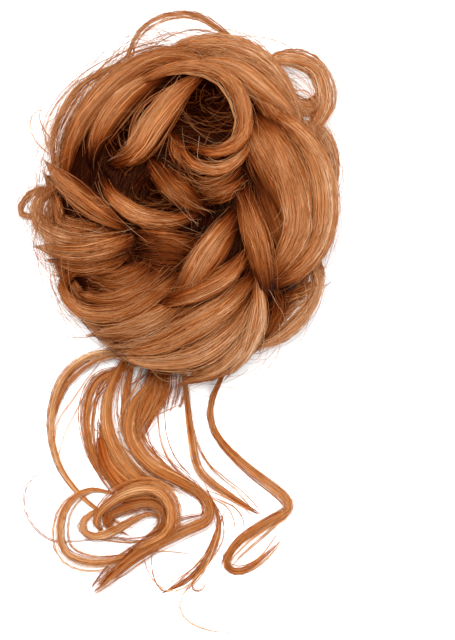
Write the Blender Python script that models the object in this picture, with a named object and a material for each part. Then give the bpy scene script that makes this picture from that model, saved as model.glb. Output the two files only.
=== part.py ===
"""Curly false-hair top knot: a messy bun of looped locks, its elastic band and the trailing locks.

Metres, +Z up. The piece lies on a level surface with its band down. +X is to the right and +Y is
towards the bun's far side, with the trailing locks towards -Y. The origin is at the middle of the
base of the whole piece.
"""

import math

import bmesh
import bpy
import numpy as np
from mathutils import Matrix, Vector

# Driving dimensions
BUN_WIDTH = 0.132
BUN_LENGTH = 0.154
BUN_HEIGHT = 0.063
LOCK_WIDTH = 0.0100
LOCK_THICKNESS = 0.0064
LOCK_OVERHANG = 0.0115
TAIL_SPREAD = 0.1232
TAIL_LENGTH = 0.1232
TAIL_LOCK_WIDTH = 0.0088
TAIL_LOCK_THICKNESS = 0.0056
BAND_RADIUS = 0.0185
BAND_SECTION = 0.0034
BAND_GATHERS = 16
BAND_WAIST = 0.88
WELL_RADIUS = 0.0032
HOLLOW_HEIGHT = 0.025
CLEARANCE = 0.0003
POCKET_HEIGHT = 0.0085
WRAP_LOCKS = 11
WRAP_WIDTH = 0.0125

# The core is the massed hair under the locks, which overhang it
CORE_HALF_WIDTH = BUN_WIDTH / 2 - LOCK_OVERHANG
CORE_HALF_LENGTH = BUN_LENGTH / 2 - LOCK_OVERHANG

# Fineness of the shapes
SECTIONS_PER_SPAN = 2
WRAP_SECTIONS = 7
CORE_ANGLES = 24
BAND_SIDES = 8
FLAT_ANGLE = math.radians(2.5)

# A lock narrower than this share of LOCK_WIDTH is a thin one
THIN_LOCK = 0.55
# Corners round a lock's section, in degrees from its top: the last is the keel that roots it
LOCK_CORNERS = (-90, -38, 38, 90, 180)
THIN_CORNERS = (-90, 0, 90, 180)

# Places in the bun, as shares of half its width and half its length
BAND_PLACE = (-0.03, 0.06)
TAIL_PLACE = (-0.23, -0.85)

# Dome: the height of the hair over the core, a share of the bun's height at each core radius
DOME_PEAK = 0.86
DOME_FALL = 1.02
DOME_POWER = 0.6
DIMPLE_DEPTH = 0.25
DIMPLE_RADIUS = 0.3
DOME_EDGE = 1.5
SLOPE_STEP = 0.02

# The core's top under the dome, and the locks' ends under it, as shares of the bun's height
CORE_SINK = 0.04
END_SINK = 0.07

# A lock's width at its ends, how fast it fills out, and its depth below its middle
END_WIDTH = 0.34
FILL_POWER = 0.6
BOW_POWER = 0.5
KEEL = 2.0

# The wraps round the core's side: each covers this many shares of the turn between two, and
# rises between these shares of the bun's height
WRAP_OVERLAP = 1.5
WRAP_LOW = 0.13
WRAP_HIGH = 0.43
WRAP_BULGE = 0.05

# Shares of TAIL_LENGTH over which a rooted lock comes down to the floor
ROOT_REACH = 0.22
ROOT_START = 0.1

# The pocket over the tail's roots, in tail shares: its left and right ends, its back and its front
POCKET_ACROSS = (-0.62, 0.78)
POCKET_ALONG = (-0.14, 0.40)

# Core's outline from its base up its side: shares of its half width and of the bun's height
CORE_SIDE = (
    (0.80, 0.00),
    (0.95, 0.09),
    (1.03, 0.25),
    (1.02, 0.42),
)
CORE_CROWN = (0.93, 0.78, 0.60, 0.42, 0.26, 0.12)

# Dark hollows between the locks: name, place, half width and half length in bun shares, and
# depth as a share of the bun's height
PITS = (
    ("crown_pit", (0.19, 0.62), (0.17, 0.14), 0.34),
    ("left_pit", (-0.37, 0.46), (0.08, 0.16), 0.26),
    ("middle_pit", (-0.13, 0.08), (0.16, 0.07), 0.22),
)

# Wells that show the band: name and place round it, in degrees from +X
WELLS = (
    ("upper_well", 5),
    ("upper_well_side", -15),
    ("lower_well", -50),
)

# Locks of the bun: name, width as a share of LOCK_WIDTH, lift above the dome as a share of the
# bun's height, and the path in shares of half the bun's width and length
BUN_LOCKS = (
    ("outer_wisp", 0.42, -0.05, ((-.86, .16), (-.89, .42), (-.74, .68), (-.48, .82), (-.18, .86))),
    ("left_fringe", 0.88, -0.10, ((-.88, .18), (-.86, .40), (-.76, .58), (-.58, .72))),
    ("left_sweep", 0.98, 0.00, ((-.78, .14), (-.76, .35), (-.62, .58), (-.38, .78), (-.10, .88), (.22, .82))),
    ("second_sweep", 1.00, 0.02, ((-.62, .22), (-.57, .42), (-.44, .60), (-.28, .72), (-.10, .78))),
    ("pit_strand", 0.36, -0.08, ((-.62, .20), (-.58, .38), (-.47, .53), (-.36, .64))),
    ("diagonal_loop", 1.12, 0.05, ((-.51, .25), (-.33, .32), (-.20, .48), (-.04, .66), (.12, .77))),
    ("crown_arch", 0.68, 0.12,
     ((-.40, .66), (-.20, .77), (.06, .82), (.28, .76), (.40, .58), (.38, .40), (.20, .32), (-.02, .38))),
    ("second_curl", 0.54, 0.06, ((.43, .50), (.41, .34), (.25, .23), (.04, .27), (-.08, .46))),
    ("third_curl", 0.45, 0.02, ((.41, .28), (.30, .18), (.14, .15), (-.02, .24))),
    ("low_curl", 0.58, 0.03, ((.42, .19), (.31, .12), (.18, .09), (.07, .14))),
    ("top_sweep", 0.98, -0.03, ((-.20, .82), (-.02, .92), (.26, .95), (.50, .87), (.68, .68), (.78, .50))),
    ("top_inner", 0.96, 0.01, ((.10, .86), (.33, .82), (.54, .69), (.75, .51))),
    ("top_lobe", 0.84, -0.03, ((.48, .80), (.66, .88), (.87, .82), (.94, .64), (.86, .48), (.74, .38))),
    ("right_sweep", 1.22, 0.06, ((.56, .58), (.78, .43), (.92, .18), (.92, -.12), (.78, -.32), (.56, -.44))),
    ("right_inner", 1.44, 0.05, ((.46, .56), (.60, .38), (.72, .12), (.73, -.14), (.54, -.43))),
    ("top_lobe_low", 0.80, -0.06, ((.62, .70), (.73, .60), (.84, .59), (.91, .68))),
    ("right_under", 1.24, 0.02, ((.41, .60), (.46, .42), (.56, .24), (.67, .04), (.74, -.16))),
    ("right_rim", 0.44, -0.10, ((.72, .52), (.94, .44), (.99, .18), (.80, .00))),
    ("cross_lock", 1.05, 0.10, ((.37, .17), (.43, -.04), (.50, -.23), (.56, -.50))),
    ("left_cross", 1.22, 0.07, ((.36, .01), (.24, -.15), (.10, -.32), (-.05, -.50))),
    ("low_cross", 0.90, 0.05, ((.45, -.20), (.28, -.37), (.06, -.47), (-.20, -.54))),
    ("fan_upper", 1.22, 0.00, ((.48, -.34), (.30, -.52), (.06, -.65), (-.16, -.75), (-.40, -.80))),
    ("fan_lower", 1.14, -0.03, ((.48, -.44), (.34, -.64), (.10, -.80), (-.14, -.85), (-.38, -.84))),
    ("fan_end", 1.05, -0.06, ((.46, -.50), (.42, -.68), (.26, -.86), (.02, -.97))),
    ("pale_lock", 0.62, 0.05, ((.48, -.36), (.50, -.60), (.42, -.80), (.30, -.93))),
    ("right_arc", 0.62, -0.08, ((.80, -.26), (.89, -.40), (.80, -.58), (.62, -.72), (.40, -.78))),
    ("right_fill", 0.72, -0.05, ((.58, -.40), (.62, -.55), (.54, -.72))),
    ("right_ringlet", 0.36, -0.10, ((.84, -.22), (.91, -.34), (.82, -.44), (.60, -.50))),
    ("left_diagonal", 0.90, 0.05, ((-.90, .26), (-.73, .11), (-.50, -.04), (-.36, -.11))),
    ("left_lobe", 0.66, -0.04, ((-.76, .18), (-.97, .06), (-.94, -.10), (-.68, -.18), (-.32, -.11))),
    ("left_lobe_fill", 0.82, -0.07, ((-.86, .10), (-.80, -.06), (-.62, -.10), (-.42, -.10))),
    ("left_tiny_loop", 0.22, -0.06, ((-.76, .15), (-1.00, .12), (-1.10, .03), (-1.07, -.03), (-.84, -.04))),
    ("left_low", 0.98, -0.02, ((-.30, -.14), (-.50, -.21), (-.74, -.24), (-.94, -.21))),
    ("left_low_fill", 0.98, -0.05, ((-.30, -.21), (-.50, -.28), (-.68, -.31), (-.84, -.29))),
    ("low_lobe", 0.74, 0.00, ((-.66, -.32), (-.81, -.42), (-.68, -.57), (-.42, -.58), (-.15, -.45), (.02, -.33))),
    ("low_lobe_inner", 0.82, -0.02, ((-.70, -.47), (-.50, -.50), (-.28, -.44), (-.04, -.30))),
    ("low_lobe_top", 0.82, -0.03, ((-.68, -.36), (-.48, -.39), (-.30, -.35), (-.16, -.26))),
    ("left_fan", 1.05, -0.02, ((.06, -.46), (-.14, -.58), (-.36, -.66), (-.58, -.70))),
    ("left_fan_low", 0.90, -0.05, ((.14, -.53), (-.08, -.66), (-.26, -.73), (-.44, -.77))),
    ("inner_u", 0.76, 0.03, ((-.55, .25), (-.48, .09), (-.30, -.03), (-.08, -.06), (.13, -.01))),
    ("inner_diagonal", 0.98, 0.06, ((-.25, .31), (-.10, .16), (.07, .05), (.19, -.03))),
    ("inner_strand", 0.36, 0.06, ((-.09, .46), (-.06, .32), (.05, .19))),
    ("centre_low", 0.90, -0.01, ((-.36, -.12), (-.16, -.17), (.04, -.20), (.18, -.18))),
    ("centre_dark", 0.98, -0.02, ((-.34, -.22), (-.12, -.25), (.10, -.27))),
    ("top_arc", 0.24, 0.02,
     ((-.38, .70), (-.36, .92), (-.23, 1.08), (.02, 1.13), (.22, 1.05), (.42, .88), (.50, .74))),
)

# Trailing locks: name, width as a share of TAIL_LOCK_WIDTH, lift over the floor as a share of
# POCKET_HEIGHT, and the path in shares of half TAIL_SPREAD and of TAIL_LENGTH from the tail's root
CURL_LOCKS = (
    ("left_outer", 0.32, 0.0,
     ((-.08, -.03), (-.42, -.02), (-.64, .07), (-.72, .22), (-.67, .37), (-.52, .48), (-.36, .55))),
    ("left_second", 0.27, 0.0, ((-.10, -.02), (-.38, .00), (-.60, .09), (-.71, .24), (-.68, .34))),
    ("left_third", 0.46, 0.0, ((-.12, .02), (-.38, .07), (-.47, .20), (-.41, .36), (-.26, .46))),
    ("bundle_a", 0.68, 0.1, ((-.14, -.05), (-.31, .14), (-.27, .30), (-.08, .42), (.18, .46))),
    ("bundle_b", 0.46, 0.1, ((-.10, -.05), (-.19, .16), (-.14, .30), (.03, .40), (.28, .45))),
    ("bundle_main", 1.00, 0.2,
     ((.16, -.05), (.04, .07), (-.12, .16), (-.15, .28), (.00, .38), (.22, .44), (.42, .50))),
    ("bundle_fill", 1.30, 0.1, ((-.36, .28), (-.30, .38), (-.14, .46), (.06, .50))),
    ("bundle_fan", 1.50, 0.2, ((.07, -.02), (.05, .10), (-.04, .19), (-.14, .28))),
    ("bend", 0.74, 0.3, ((.16, .44), (.38, .49), (.42, .57), (.22, .62), (-.08, .70), (-.38, .82))),
    ("curl_over", 0.80, 0.9, ((-.44, .60), (-.30, .52), (-.04, .48), (.14, .54), (.08, .64), (-.16, .67))),
    ("curl_inner", 0.62, 0.5, ((-.44, .62), (-.20, .59), (.02, .52))),
    ("curl_fill", 1.00, 0.3, ((-.26, .53), (-.04, .54), (.06, .62))),
    ("curl_left", 0.46, 0.1,
     ((-.26, .48), (-.46, .47), (-.63, .55), (-.63, .68), (-.42, .73), (-.10, .70), (.12, .64))),
    ("wisp", 0.28, 0.0,
     ((.36, .49), (.48, .60), (.43, .70), (.31, .79), (.22, .87), (.34, .95), (.64, .99))),
    ("wisp_fan", 0.26, 0.0, ((.48, .61), (.38, .73), (.24, .80), (.08, .84))),
)
THIN_LOCK_ROW = (
    "tail_thin_lock", 0.36, 0.0, ((.20, -.08), (.26, .12), (.30, .32), (.46, .43), (.80, .56)))
LONG_LOCK_ROW = (
    "tail_long_lock", 0.50, 0.0,
    ((.60, -.10), (.51, .06), (.42, .15), (.43, .24), (.56, .34), (.84, .43), (1.0, .52), (.78, .60),
     (.54, .68), (.56, .76), (.80, .73), (.96, .64)))

HAIR_COLOUR = (0.42, 0.15, 0.055, 1.0)
HAIR_ROUGHNESS = 0.45
BAND_COLOUR = (0.012, 0.012, 0.013, 1.0)
BAND_ROUGHNESS = 0.8


def clear_scene():
    for obj in list(bpy.data.objects):
        bpy.data.objects.remove(obj, do_unlink=True)


def material(name, colour, roughness):
    mat = bpy.data.materials.new(name)
    mat.use_nodes = True
    shader = mat.node_tree.nodes["Principled BSDF"]
    shader.inputs["Base Color"].default_value = colour
    shader.inputs["Roughness"].default_value = roughness
    shader.inputs["Metallic"].default_value = 0.0
    return mat


def add_object(name, bm):
    """An object from a bmesh, with its faces pointing out."""
    bmesh.ops.recalc_face_normals(bm, faces=bm.faces[:])
    mesh = bpy.data.meshes.new(name)
    bm.to_mesh(mesh)
    bm.free()
    obj = bpy.data.objects.new(name, mesh)
    bpy.context.scene.collection.objects.link(obj)
    return obj


def add_cutter(name, bm):
    cutter = add_object(name, bm)
    cutter.hide_render = True
    cutter.display_type = "WIRE"
    return cutter


def smooth_path(points, per_span):
    """Points along a smooth curve that passes through each given point."""
    through = np.array(points, dtype=float)
    first = 2 * through[0] - through[1]
    last = 2 * through[-1] - through[-2]
    knots = np.vstack([first, through, last])
    path = []
    for index in range(1, len(knots) - 2):
        before, start, end, after = knots[index - 1:index + 3]
        for step in range(per_span):
            t = step / per_span
            path.append(0.5 * (2 * start + (end - before) * t
                               + (2 * before - 5 * start + 4 * end - after) * t ** 2
                               + (3 * start - before - 3 * end + after) * t ** 3))
    path.append(through[-1])
    return np.array(path)


def core_radius(across, along):
    """Distance from the bun's middle, with 1 at the core's outline."""
    x = across * BUN_WIDTH / 2
    y = along * BUN_LENGTH / 2
    return math.hypot(x / CORE_HALF_WIDTH, y / CORE_HALF_LENGTH)


def dome_height(radius):
    """Height of the hair over the core, which falls to the sides and dips in the middle."""
    turn = DOME_FALL * min(radius, DOME_EDGE)
    dome = DOME_PEAK * math.cos(turn) ** DOME_POWER
    dimple = DIMPLE_DEPTH * math.exp(-(radius / DIMPLE_RADIUS) ** 2)
    return BUN_HEIGHT * (dome - dimple)


def bun_point(across, along, height):
    return Vector((across * BUN_WIDTH / 2, along * BUN_LENGTH / 2, height))


def tail_point(across, along, height):
    root = bun_point(*TAIL_PLACE, height)
    return root + Vector((across * TAIL_SPREAD / 2, -along * TAIL_LENGTH, 0))


def dome_normal(across, along):
    step = SLOPE_STEP
    middle = dome_height(core_radius(across, along))
    slope_x = (dome_height(core_radius(across + step, along)) - middle) / (step * BUN_WIDTH / 2)
    slope_y = (dome_height(core_radius(across, along + step)) - middle) / (step * BUN_LENGTH / 2)
    return Vector((-slope_x, -slope_y, 1)).normalized()


def end_taper(share):
    """Width of a lock along its length: full in the middle and narrow at its ends."""
    return END_WIDTH + (1 - END_WIDTH) * math.sin(math.pi * share) ** FILL_POWER


def loft(points, normals, half_widths, half_heights, depths, corners):
    """A closed lock with an oval section at each point, deeper below than above its middle."""
    bm = bmesh.new()
    rings = []
    count = len(points)
    for index, point in enumerate(points):
        tangent = (points[min(index + 1, count - 1)] - points[max(index - 1, 0)]).normalized()
        side = tangent.cross(normals[index]).normalized()
        rise = side.cross(tangent).normalized()
        ring = []
        for corner in corners:
            angle = math.radians(corner)
            offset = side * math.sin(angle) * half_widths[index]
            up = math.cos(angle)
            offset += rise * up * (half_heights[index] if up > 0 else depths[index])
            ring.append(bm.verts.new(point + offset))
        rings.append(ring)
    for ring, following in zip(rings, rings[1:]):
        for corner in range(len(corners)):
            after = (corner + 1) % len(corners)
            bm.faces.new((ring[corner], ring[after], following[after], following[corner]))
    bm.faces.new(rings[0])
    bm.faces.new(rings[-1])
    bmesh.ops.triangulate(bm, faces=bm.faces[:])
    return bm


def corners_for(width_share):
    return THIN_CORNERS if width_share < THIN_LOCK else LOCK_CORNERS


def bun_lock(name, width_share, lift, path):
    """One lock of the bun, laid over the dome with both ends sunk into it."""
    shares = smooth_path(path, SECTIONS_PER_SPAN)
    half_width = width_share * LOCK_WIDTH / 2
    half_height = min(width_share, 1) * LOCK_THICKNESS / 2
    points = []
    normals = []
    tapers = []
    for index, (across, along) in enumerate(shares):
        taper = end_taper(index / (len(shares) - 1))
        share = index / (len(shares) - 1)
        bow = math.sin(math.pi * share) ** BOW_POWER
        raised = lift * bow - END_SINK * (1 - bow)
        height = dome_height(core_radius(across, along)) + raised * BUN_HEIGHT
        points.append(bun_point(across, along, height))
        normals.append(dome_normal(across, along))
        tapers.append(taper)
    widths = [half_width * taper for taper in tapers]
    heights = [half_height * taper for taper in tapers]
    keel = 1 if width_share < THIN_LOCK else KEEL
    depths = [keel * height for height in heights]
    return add_object(name, loft(points, normals, widths, heights, depths, corners_for(width_share)))


def wrap_lock(number):
    """One of the like locks that wrap the bun's side between the floor and the dome."""
    start = 2 * math.pi * number / WRAP_LOCKS
    sweep = WRAP_OVERLAP * 2 * math.pi / WRAP_LOCKS
    points = []
    normals = []
    tapers = []
    for index in range(WRAP_SECTIONS):
        share = index / (WRAP_SECTIONS - 1)
        angle = start + sweep * share
        bulge = 1 + WRAP_BULGE * math.sin(math.pi * share)
        x = math.cos(angle) * CORE_HALF_WIDTH * bulge
        y = math.sin(angle) * CORE_HALF_LENGTH * bulge
        height = BUN_HEIGHT * (WRAP_LOW + (WRAP_HIGH - WRAP_LOW) * share)
        points.append(Vector((x, y, height)))
        normals.append(Vector((math.cos(angle), math.sin(angle), 0)))
        tapers.append(end_taper(share))
    widths = [WRAP_WIDTH / 2 * taper for taper in tapers]
    heights = [LOCK_THICKNESS / 2 * taper for taper in tapers]
    return add_object(f"wrap_{number}", loft(points, normals, widths, heights, heights, LOCK_CORNERS))


def tail_lock(name, width_share, lift, path):
    """One trailing lock: it leaves the pocket near its ceiling and lies down on the floor."""
    shares = smooth_path(path, SECTIONS_PER_SPAN)
    half_width = width_share * TAIL_LOCK_WIDTH / 2
    half_height = min(width_share, 1) * TAIL_LOCK_THICKNESS / 2
    points = []
    tapers = []
    for index, (across, along) in enumerate(shares):
        share = index / (len(shares) - 1)
        taper = end_taper(share)
        rooted = min(max(1 - along / ROOT_REACH, 0), 1) ** 2 if path[0][1] < ROOT_START else 0
        bow = math.sin(math.pi * share) ** BOW_POWER
        lying = half_height * taper + lift * POCKET_HEIGHT * bow
        ceiling = POCKET_HEIGHT - CLEARANCE - half_height * taper
        points.append(tail_point(across, along, lying + (ceiling - lying) * rooted))
        tapers.append(taper)
    normals = [Vector((0, 0, 1))] * len(points)
    widths = [half_width * taper for taper in tapers]
    heights = [half_height * taper for taper in tapers]
    depths = [point.z for point in points]
    return add_object(name, loft(points, normals, widths, heights, depths, corners_for(width_share)))


def core():
    """Body of massed hair under the locks: a low dome, flat below, with pits between the locks."""
    bm = bmesh.new()
    profile = [(radius, BUN_HEIGHT * height) for radius, height in CORE_SIDE]
    for radius in CORE_CROWN:
        profile.append((radius, dome_height(radius) - CORE_SINK * BUN_HEIGHT))
    rings = []
    for radius, height in profile:
        ring = []
        for index in range(CORE_ANGLES):
            angle = 2 * math.pi * index / CORE_ANGLES
            x = math.cos(angle) * CORE_HALF_WIDTH * radius
            y = math.sin(angle) * CORE_HALF_LENGTH * radius
            ring.append(bm.verts.new((x, y, height)))
        rings.append(ring)
    bm.faces.new(rings[0])
    bm.faces.new(rings[-1])
    for ring, following in zip(rings, rings[1:]):
        for index in range(CORE_ANGLES):
            after = (index + 1) % CORE_ANGLES
            bm.faces.new((ring[index], ring[after], following[after], following[index]))
    bmesh.ops.triangulate(bm, faces=bm.faces[:])
    return add_object("bun", bm)


def cylinder_cutter(name, middle, radius, bottom, top, segments):
    bm = bmesh.new()
    bmesh.ops.create_cone(bm, cap_ends=True, segments=segments, radius1=radius, radius2=radius,
                          depth=top - bottom)
    bmesh.ops.translate(bm, verts=bm.verts[:], vec=(middle.x, middle.y, (top + bottom) / 2))
    return add_cutter(name, bm)


def pit_cutter(name, place, halves, depth):
    """An oval bowl that opens upwards through the dome."""
    bm = bmesh.new()
    bmesh.ops.create_uvsphere(bm, u_segments=12, v_segments=8, radius=1)
    size = Vector((halves[0] * BUN_WIDTH / 2, halves[1] * BUN_LENGTH / 2, depth * BUN_HEIGHT))
    bmesh.ops.scale(bm, verts=bm.verts[:], vec=size)
    height = dome_height(core_radius(*place))
    bmesh.ops.translate(bm, verts=bm.verts[:], vec=bun_point(*place, height))
    return add_cutter(name, bm)


def box_cutter(name, low, high):
    bm = bmesh.new()
    bmesh.ops.create_cube(bm, size=1)
    size = Vector(high) - Vector(low)
    middle = (Vector(high) + Vector(low)) / 2
    bmesh.ops.scale(bm, verts=bm.verts[:], vec=size)
    bmesh.ops.translate(bm, verts=bm.verts[:], vec=middle)
    return add_cutter(name, bm)


def combine(target, operands, operation):
    """Applies one Boolean of the target with all the operands, which are then removed."""
    group = bpy.data.collections.new(f"{target.name}_{operation.lower()}")
    bpy.context.scene.collection.children.link(group)
    for operand in operands:
        group.objects.link(operand)
    modifier = target.modifiers.new(operation.lower(), "BOOLEAN")
    modifier.operation = operation
    modifier.solver = "EXACT"
    modifier.operand_type = "COLLECTION"
    modifier.collection = group
    modifier.use_self = True
    depsgraph = bpy.context.evaluated_depsgraph_get()
    mesh = bpy.data.meshes.new_from_object(target.evaluated_get(depsgraph))
    target.modifiers.clear()
    target.data = mesh
    for operand in operands:
        bpy.data.objects.remove(operand, do_unlink=True)
    bpy.data.collections.remove(group)


def shell_of(start, unseen):
    """The faces that join up with the start face, taken out of the unseen ones."""
    del unseen[start]
    shell = [start]
    for face in shell:
        for edge in face.edges:
            for neighbour in edge.link_faces:
                if neighbour in unseen:
                    del unseen[neighbour]
                    shell.append(neighbour)
    return shell


def shell_volume(shell):
    volume = 0
    for face in shell:
        a, b, c = (loop.vert.co for loop in face.loops)
        volume += a.dot(b.cross(c)) / 6
    return volume


def fill_voids(obj):
    """Joins flat facets and fills the pockets that the crossing locks close off inside."""
    bm = bmesh.new()
    bm.from_mesh(obj.data)
    bmesh.ops.remove_doubles(bm, verts=bm.verts[:], dist=1e-7)
    bmesh.ops.dissolve_limit(bm, angle_limit=FLAT_ANGLE, verts=bm.verts[:], edges=bm.edges[:])
    bmesh.ops.triangulate(bm, faces=bm.faces[:])
    unseen = dict.fromkeys(bm.faces)
    voids = []
    while unseen:
        shell = shell_of(next(iter(unseen)), unseen)
        if shell_volume(shell) < 0:
            voids.extend(shell)
    bmesh.ops.delete(bm, geom=voids, context="FACES")
    bm.to_mesh(obj.data)
    bm.free()


def band_point(angle, distance):
    return bun_point(*BAND_PLACE, 0) + Vector((math.cos(angle), math.sin(angle), 0)) * distance


def bun():
    """The massed core and its locks in one body, with a hollow below for the wearer's own hair."""
    body = core()
    openings = [pit_cutter(*row) for row in PITS]
    for name, degrees in WELLS:
        middle = band_point(math.radians(degrees), BAND_RADIUS)
        openings.append(cylinder_cutter(name, middle, WELL_RADIUS, BAND_SECTION, 2 * BUN_HEIGHT, 12))
    combine(body, openings, "DIFFERENCE")
    locks = [bun_lock(*row) for row in BUN_LOCKS]
    locks += [wrap_lock(number) for number in range(WRAP_LOCKS)]
    combine(body, locks, "UNION")
    middle = bun_point(*BAND_PLACE, 0)
    recess_radius = BAND_RADIUS + BAND_SECTION + CLEARANCE
    recess_top = 2 * BAND_SECTION + 2 * CLEARANCE
    below = -BUN_HEIGHT
    pocket_low = tail_point(POCKET_ACROSS[0], POCKET_ALONG[1], below)
    pocket_high = tail_point(POCKET_ACROSS[1], POCKET_ALONG[0], POCKET_HEIGHT)
    floor_low = (-BUN_WIDTH, -BUN_LENGTH, 2 * below)
    cutters = [
        cylinder_cutter("hollow", middle, BAND_RADIUS - BAND_SECTION, below, HOLLOW_HEIGHT, 20),
        cylinder_cutter("band_recess", middle, recess_radius, below, recess_top, 32),
        box_cutter("floor", floor_low, (BUN_WIDTH, BUN_LENGTH, 0)),
        box_cutter("tail_pocket", pocket_low, pocket_high),
    ]
    combine(body, cutters, "DIFFERENCE")
    fill_voids(body)
    return body


def tail_curls():
    """The trailing locks that cross each other, in one body."""
    locks = [tail_lock(*row) for row in CURL_LOCKS]
    body = locks[0]
    body.name = "tail_curls"
    combine(body, locks[1:], "UNION")
    fill_voids(body)
    return body


def elastic_band():
    """A round band whose cover is gathered into soft ridges."""
    bm = bmesh.new()
    steps = 2 * BAND_GATHERS
    middle = bun_point(*BAND_PLACE, BAND_SECTION + CLEARANCE)
    rings = []
    for step in range(steps):
        angle = 2 * math.pi * step / steps
        section = BAND_SECTION * (1 if step % 2 else BAND_WAIST)
        ring = []
        for corner in range(BAND_SIDES):
            turn = 2 * math.pi * (corner + 0.5) / BAND_SIDES
            reach = BAND_RADIUS + section * math.cos(turn)
            offset = Vector((math.cos(angle) * reach, math.sin(angle) * reach, section * math.sin(turn)))
            ring.append(bm.verts.new(middle + offset))
        rings.append(ring)
    for step in range(steps):
        ring = rings[step]
        following = rings[(step + 1) % steps]
        for corner in range(BAND_SIDES):
            after = (corner + 1) % BAND_SIDES
            bm.faces.new((ring[corner], ring[after], following[after], following[corner]))
    bmesh.ops.triangulate(bm, faces=bm.faces[:])
    return add_object("elastic_band", bm)


def centre_on_base(objects):
    """Moves the whole piece so that the middle of its box's base is the origin."""
    corners = np.array([vertex.co for obj in objects for vertex in obj.data.vertices])
    low = corners.min(axis=0)
    high = corners.max(axis=0)
    shift = Matrix.Translation((-(low[0] + high[0]) / 2, -(low[1] + high[1]) / 2, -low[2]))
    for obj in objects:
        obj.data.transform(shift)


def main():
    clear_scene()
    hair = material("copper_hair", HAIR_COLOUR, HAIR_ROUGHNESS)
    black = material("black_elastic", BAND_COLOUR, BAND_ROUGHNESS)
    band = elastic_band()
    band.data.materials.append(black)
    hair_pieces = [
        bun(),
        tail_curls(),
        tail_lock(*THIN_LOCK_ROW),
        tail_lock(*LONG_LOCK_ROW),
    ]
    for piece in hair_pieces:
        piece.data.materials.clear()
        piece.data.materials.append(hair)
    centre_on_base(hair_pieces + [band])


main()
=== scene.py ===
"""Looks for the curly false-hair top knot: its locks, strands, band, light and camera.

Every lock is a fine lofted body under a layer of strands that run along it. Places are shares of
the bun's and the tail's sizes, and those come from the frame's own boxes.
"""

import math
from types import SimpleNamespace

import bpy
import numpy as np
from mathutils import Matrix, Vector


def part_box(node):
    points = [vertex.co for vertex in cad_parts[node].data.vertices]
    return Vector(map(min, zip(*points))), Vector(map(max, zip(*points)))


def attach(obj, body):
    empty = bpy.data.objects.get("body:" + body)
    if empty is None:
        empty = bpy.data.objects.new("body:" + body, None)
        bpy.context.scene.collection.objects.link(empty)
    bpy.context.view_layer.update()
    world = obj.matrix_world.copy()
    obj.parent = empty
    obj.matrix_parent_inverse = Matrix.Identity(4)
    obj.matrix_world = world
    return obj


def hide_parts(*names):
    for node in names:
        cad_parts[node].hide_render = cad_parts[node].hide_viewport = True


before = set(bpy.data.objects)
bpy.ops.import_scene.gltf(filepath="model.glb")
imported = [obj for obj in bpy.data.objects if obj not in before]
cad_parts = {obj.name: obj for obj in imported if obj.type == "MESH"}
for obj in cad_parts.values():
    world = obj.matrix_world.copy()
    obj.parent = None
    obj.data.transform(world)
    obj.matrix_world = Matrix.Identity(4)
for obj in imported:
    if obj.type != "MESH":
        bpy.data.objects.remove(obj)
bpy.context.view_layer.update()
rng = np.random.default_rng(7)

# How far the bun and the tail reach from their own middle or root, as shares of their sizes
BUN_LEFT, BUN_RIGHT = 1.115, 1.015
BUN_FRONT, BUN_BACK = 0.987, 1.141
BUN_TOP = 0.913
TAIL_LEFT, TAIL_END = 0.743, 0.993
TAIL_PLACE = (-0.23, -0.85)

# Sizes of the bun, the band and the tail, from the frame, in metres
BUN_LOW, BUN_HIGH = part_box("bun")
BAND_LOW, BAND_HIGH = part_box("elastic_band")
TAIL_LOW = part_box("tail_curls")[0]
HALF_WIDTH = (BUN_HIGH[0] - BUN_LOW[0]) / (BUN_LEFT + BUN_RIGHT)
HALF_LENGTH = (BUN_HIGH[1] - BUN_LOW[1]) / (BUN_FRONT + BUN_BACK)
HEIGHT = (BUN_HIGH[2] - BUN_LOW[2]) / BUN_TOP
MIDDLE = np.array([BUN_LOW[0] + BUN_LEFT * HALF_WIDTH, BUN_LOW[1] + BUN_FRONT * HALF_LENGTH])
TAIL_ROOT = MIDDLE + np.array([TAIL_PLACE[0] * HALF_WIDTH, TAIL_PLACE[1] * HALF_LENGTH])
TAIL_SPREAD = (TAIL_ROOT[0] - TAIL_LOW[0]) / TAIL_LEFT
TAIL_LENGTH = (TAIL_ROOT[1] - TAIL_LOW[1]) / TAIL_END
POCKET_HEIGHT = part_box("tail_long_lock")[1][2]
BAND_MIDDLE = [(BAND_LOW[axis] + BAND_HIGH[axis]) / 2 for axis in range(3)]
BAND_OUTER = (BAND_HIGH[0] - BAND_LOW[0]) / 2
BAND_THICKNESS = BAND_HIGH[2] - BAND_LOW[2]

# Sizes of a full lock, as in the solids
LOCK_WIDTH = 0.0100
LOCK_THICKNESS = 0.0064
TAIL_LOCK_WIDTH = 0.0088
TAIL_LOCK_THICKNESS = 0.0056
LOCK_OVERHANG = 0.0115
CORE_HALF_WIDTH = HALF_WIDTH - LOCK_OVERHANG
CORE_HALF_LENGTH = HALF_LENGTH - LOCK_OVERHANG

# Dome of the hair over the core, as in the solids
DOME_PEAK, DOME_FALL, DOME_POWER, DOME_EDGE = 0.86, 1.02, 0.6, 1.5
DIMPLE_DEPTH, DIMPLE_RADIUS = 0.25, 0.3
SLOPE_STEP = 0.02

# How the locks lie on the dome and where they thin out
PATH_POINTS, TAIL_PATH_POINTS, WRAP_POINTS = 60, 90, 40
END_SINK = 0.07
END_WIDTH, TAIL_END_WIDTH = 0.18, 0.34
FILL_POWER, BOW_POWER = 0.6, 0.5
THIN_LOCK = 0.55
# Lock ends inside this share of the core's outline, fading over this reach, get painted shade
BURIED_EDGE, BURIED_REACH = 1.04, 0.16
ROOT_REACH, ROOT_START = 0.22, 0.1

# The core: its sections, how far it lies under the dome, its near-black tone, painted shade for the hair
# in shadow under the locks, and the run of its streaks
CORE_AROUND, CORE_CROWN = 120, 34
CORE_SINK = 0.04
CORE_SHADE_TONE = 0.02
CORE_STREAK, CORE_RING_STEP, CORE_SEED = 0.4, 0.0018, 11.0
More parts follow.
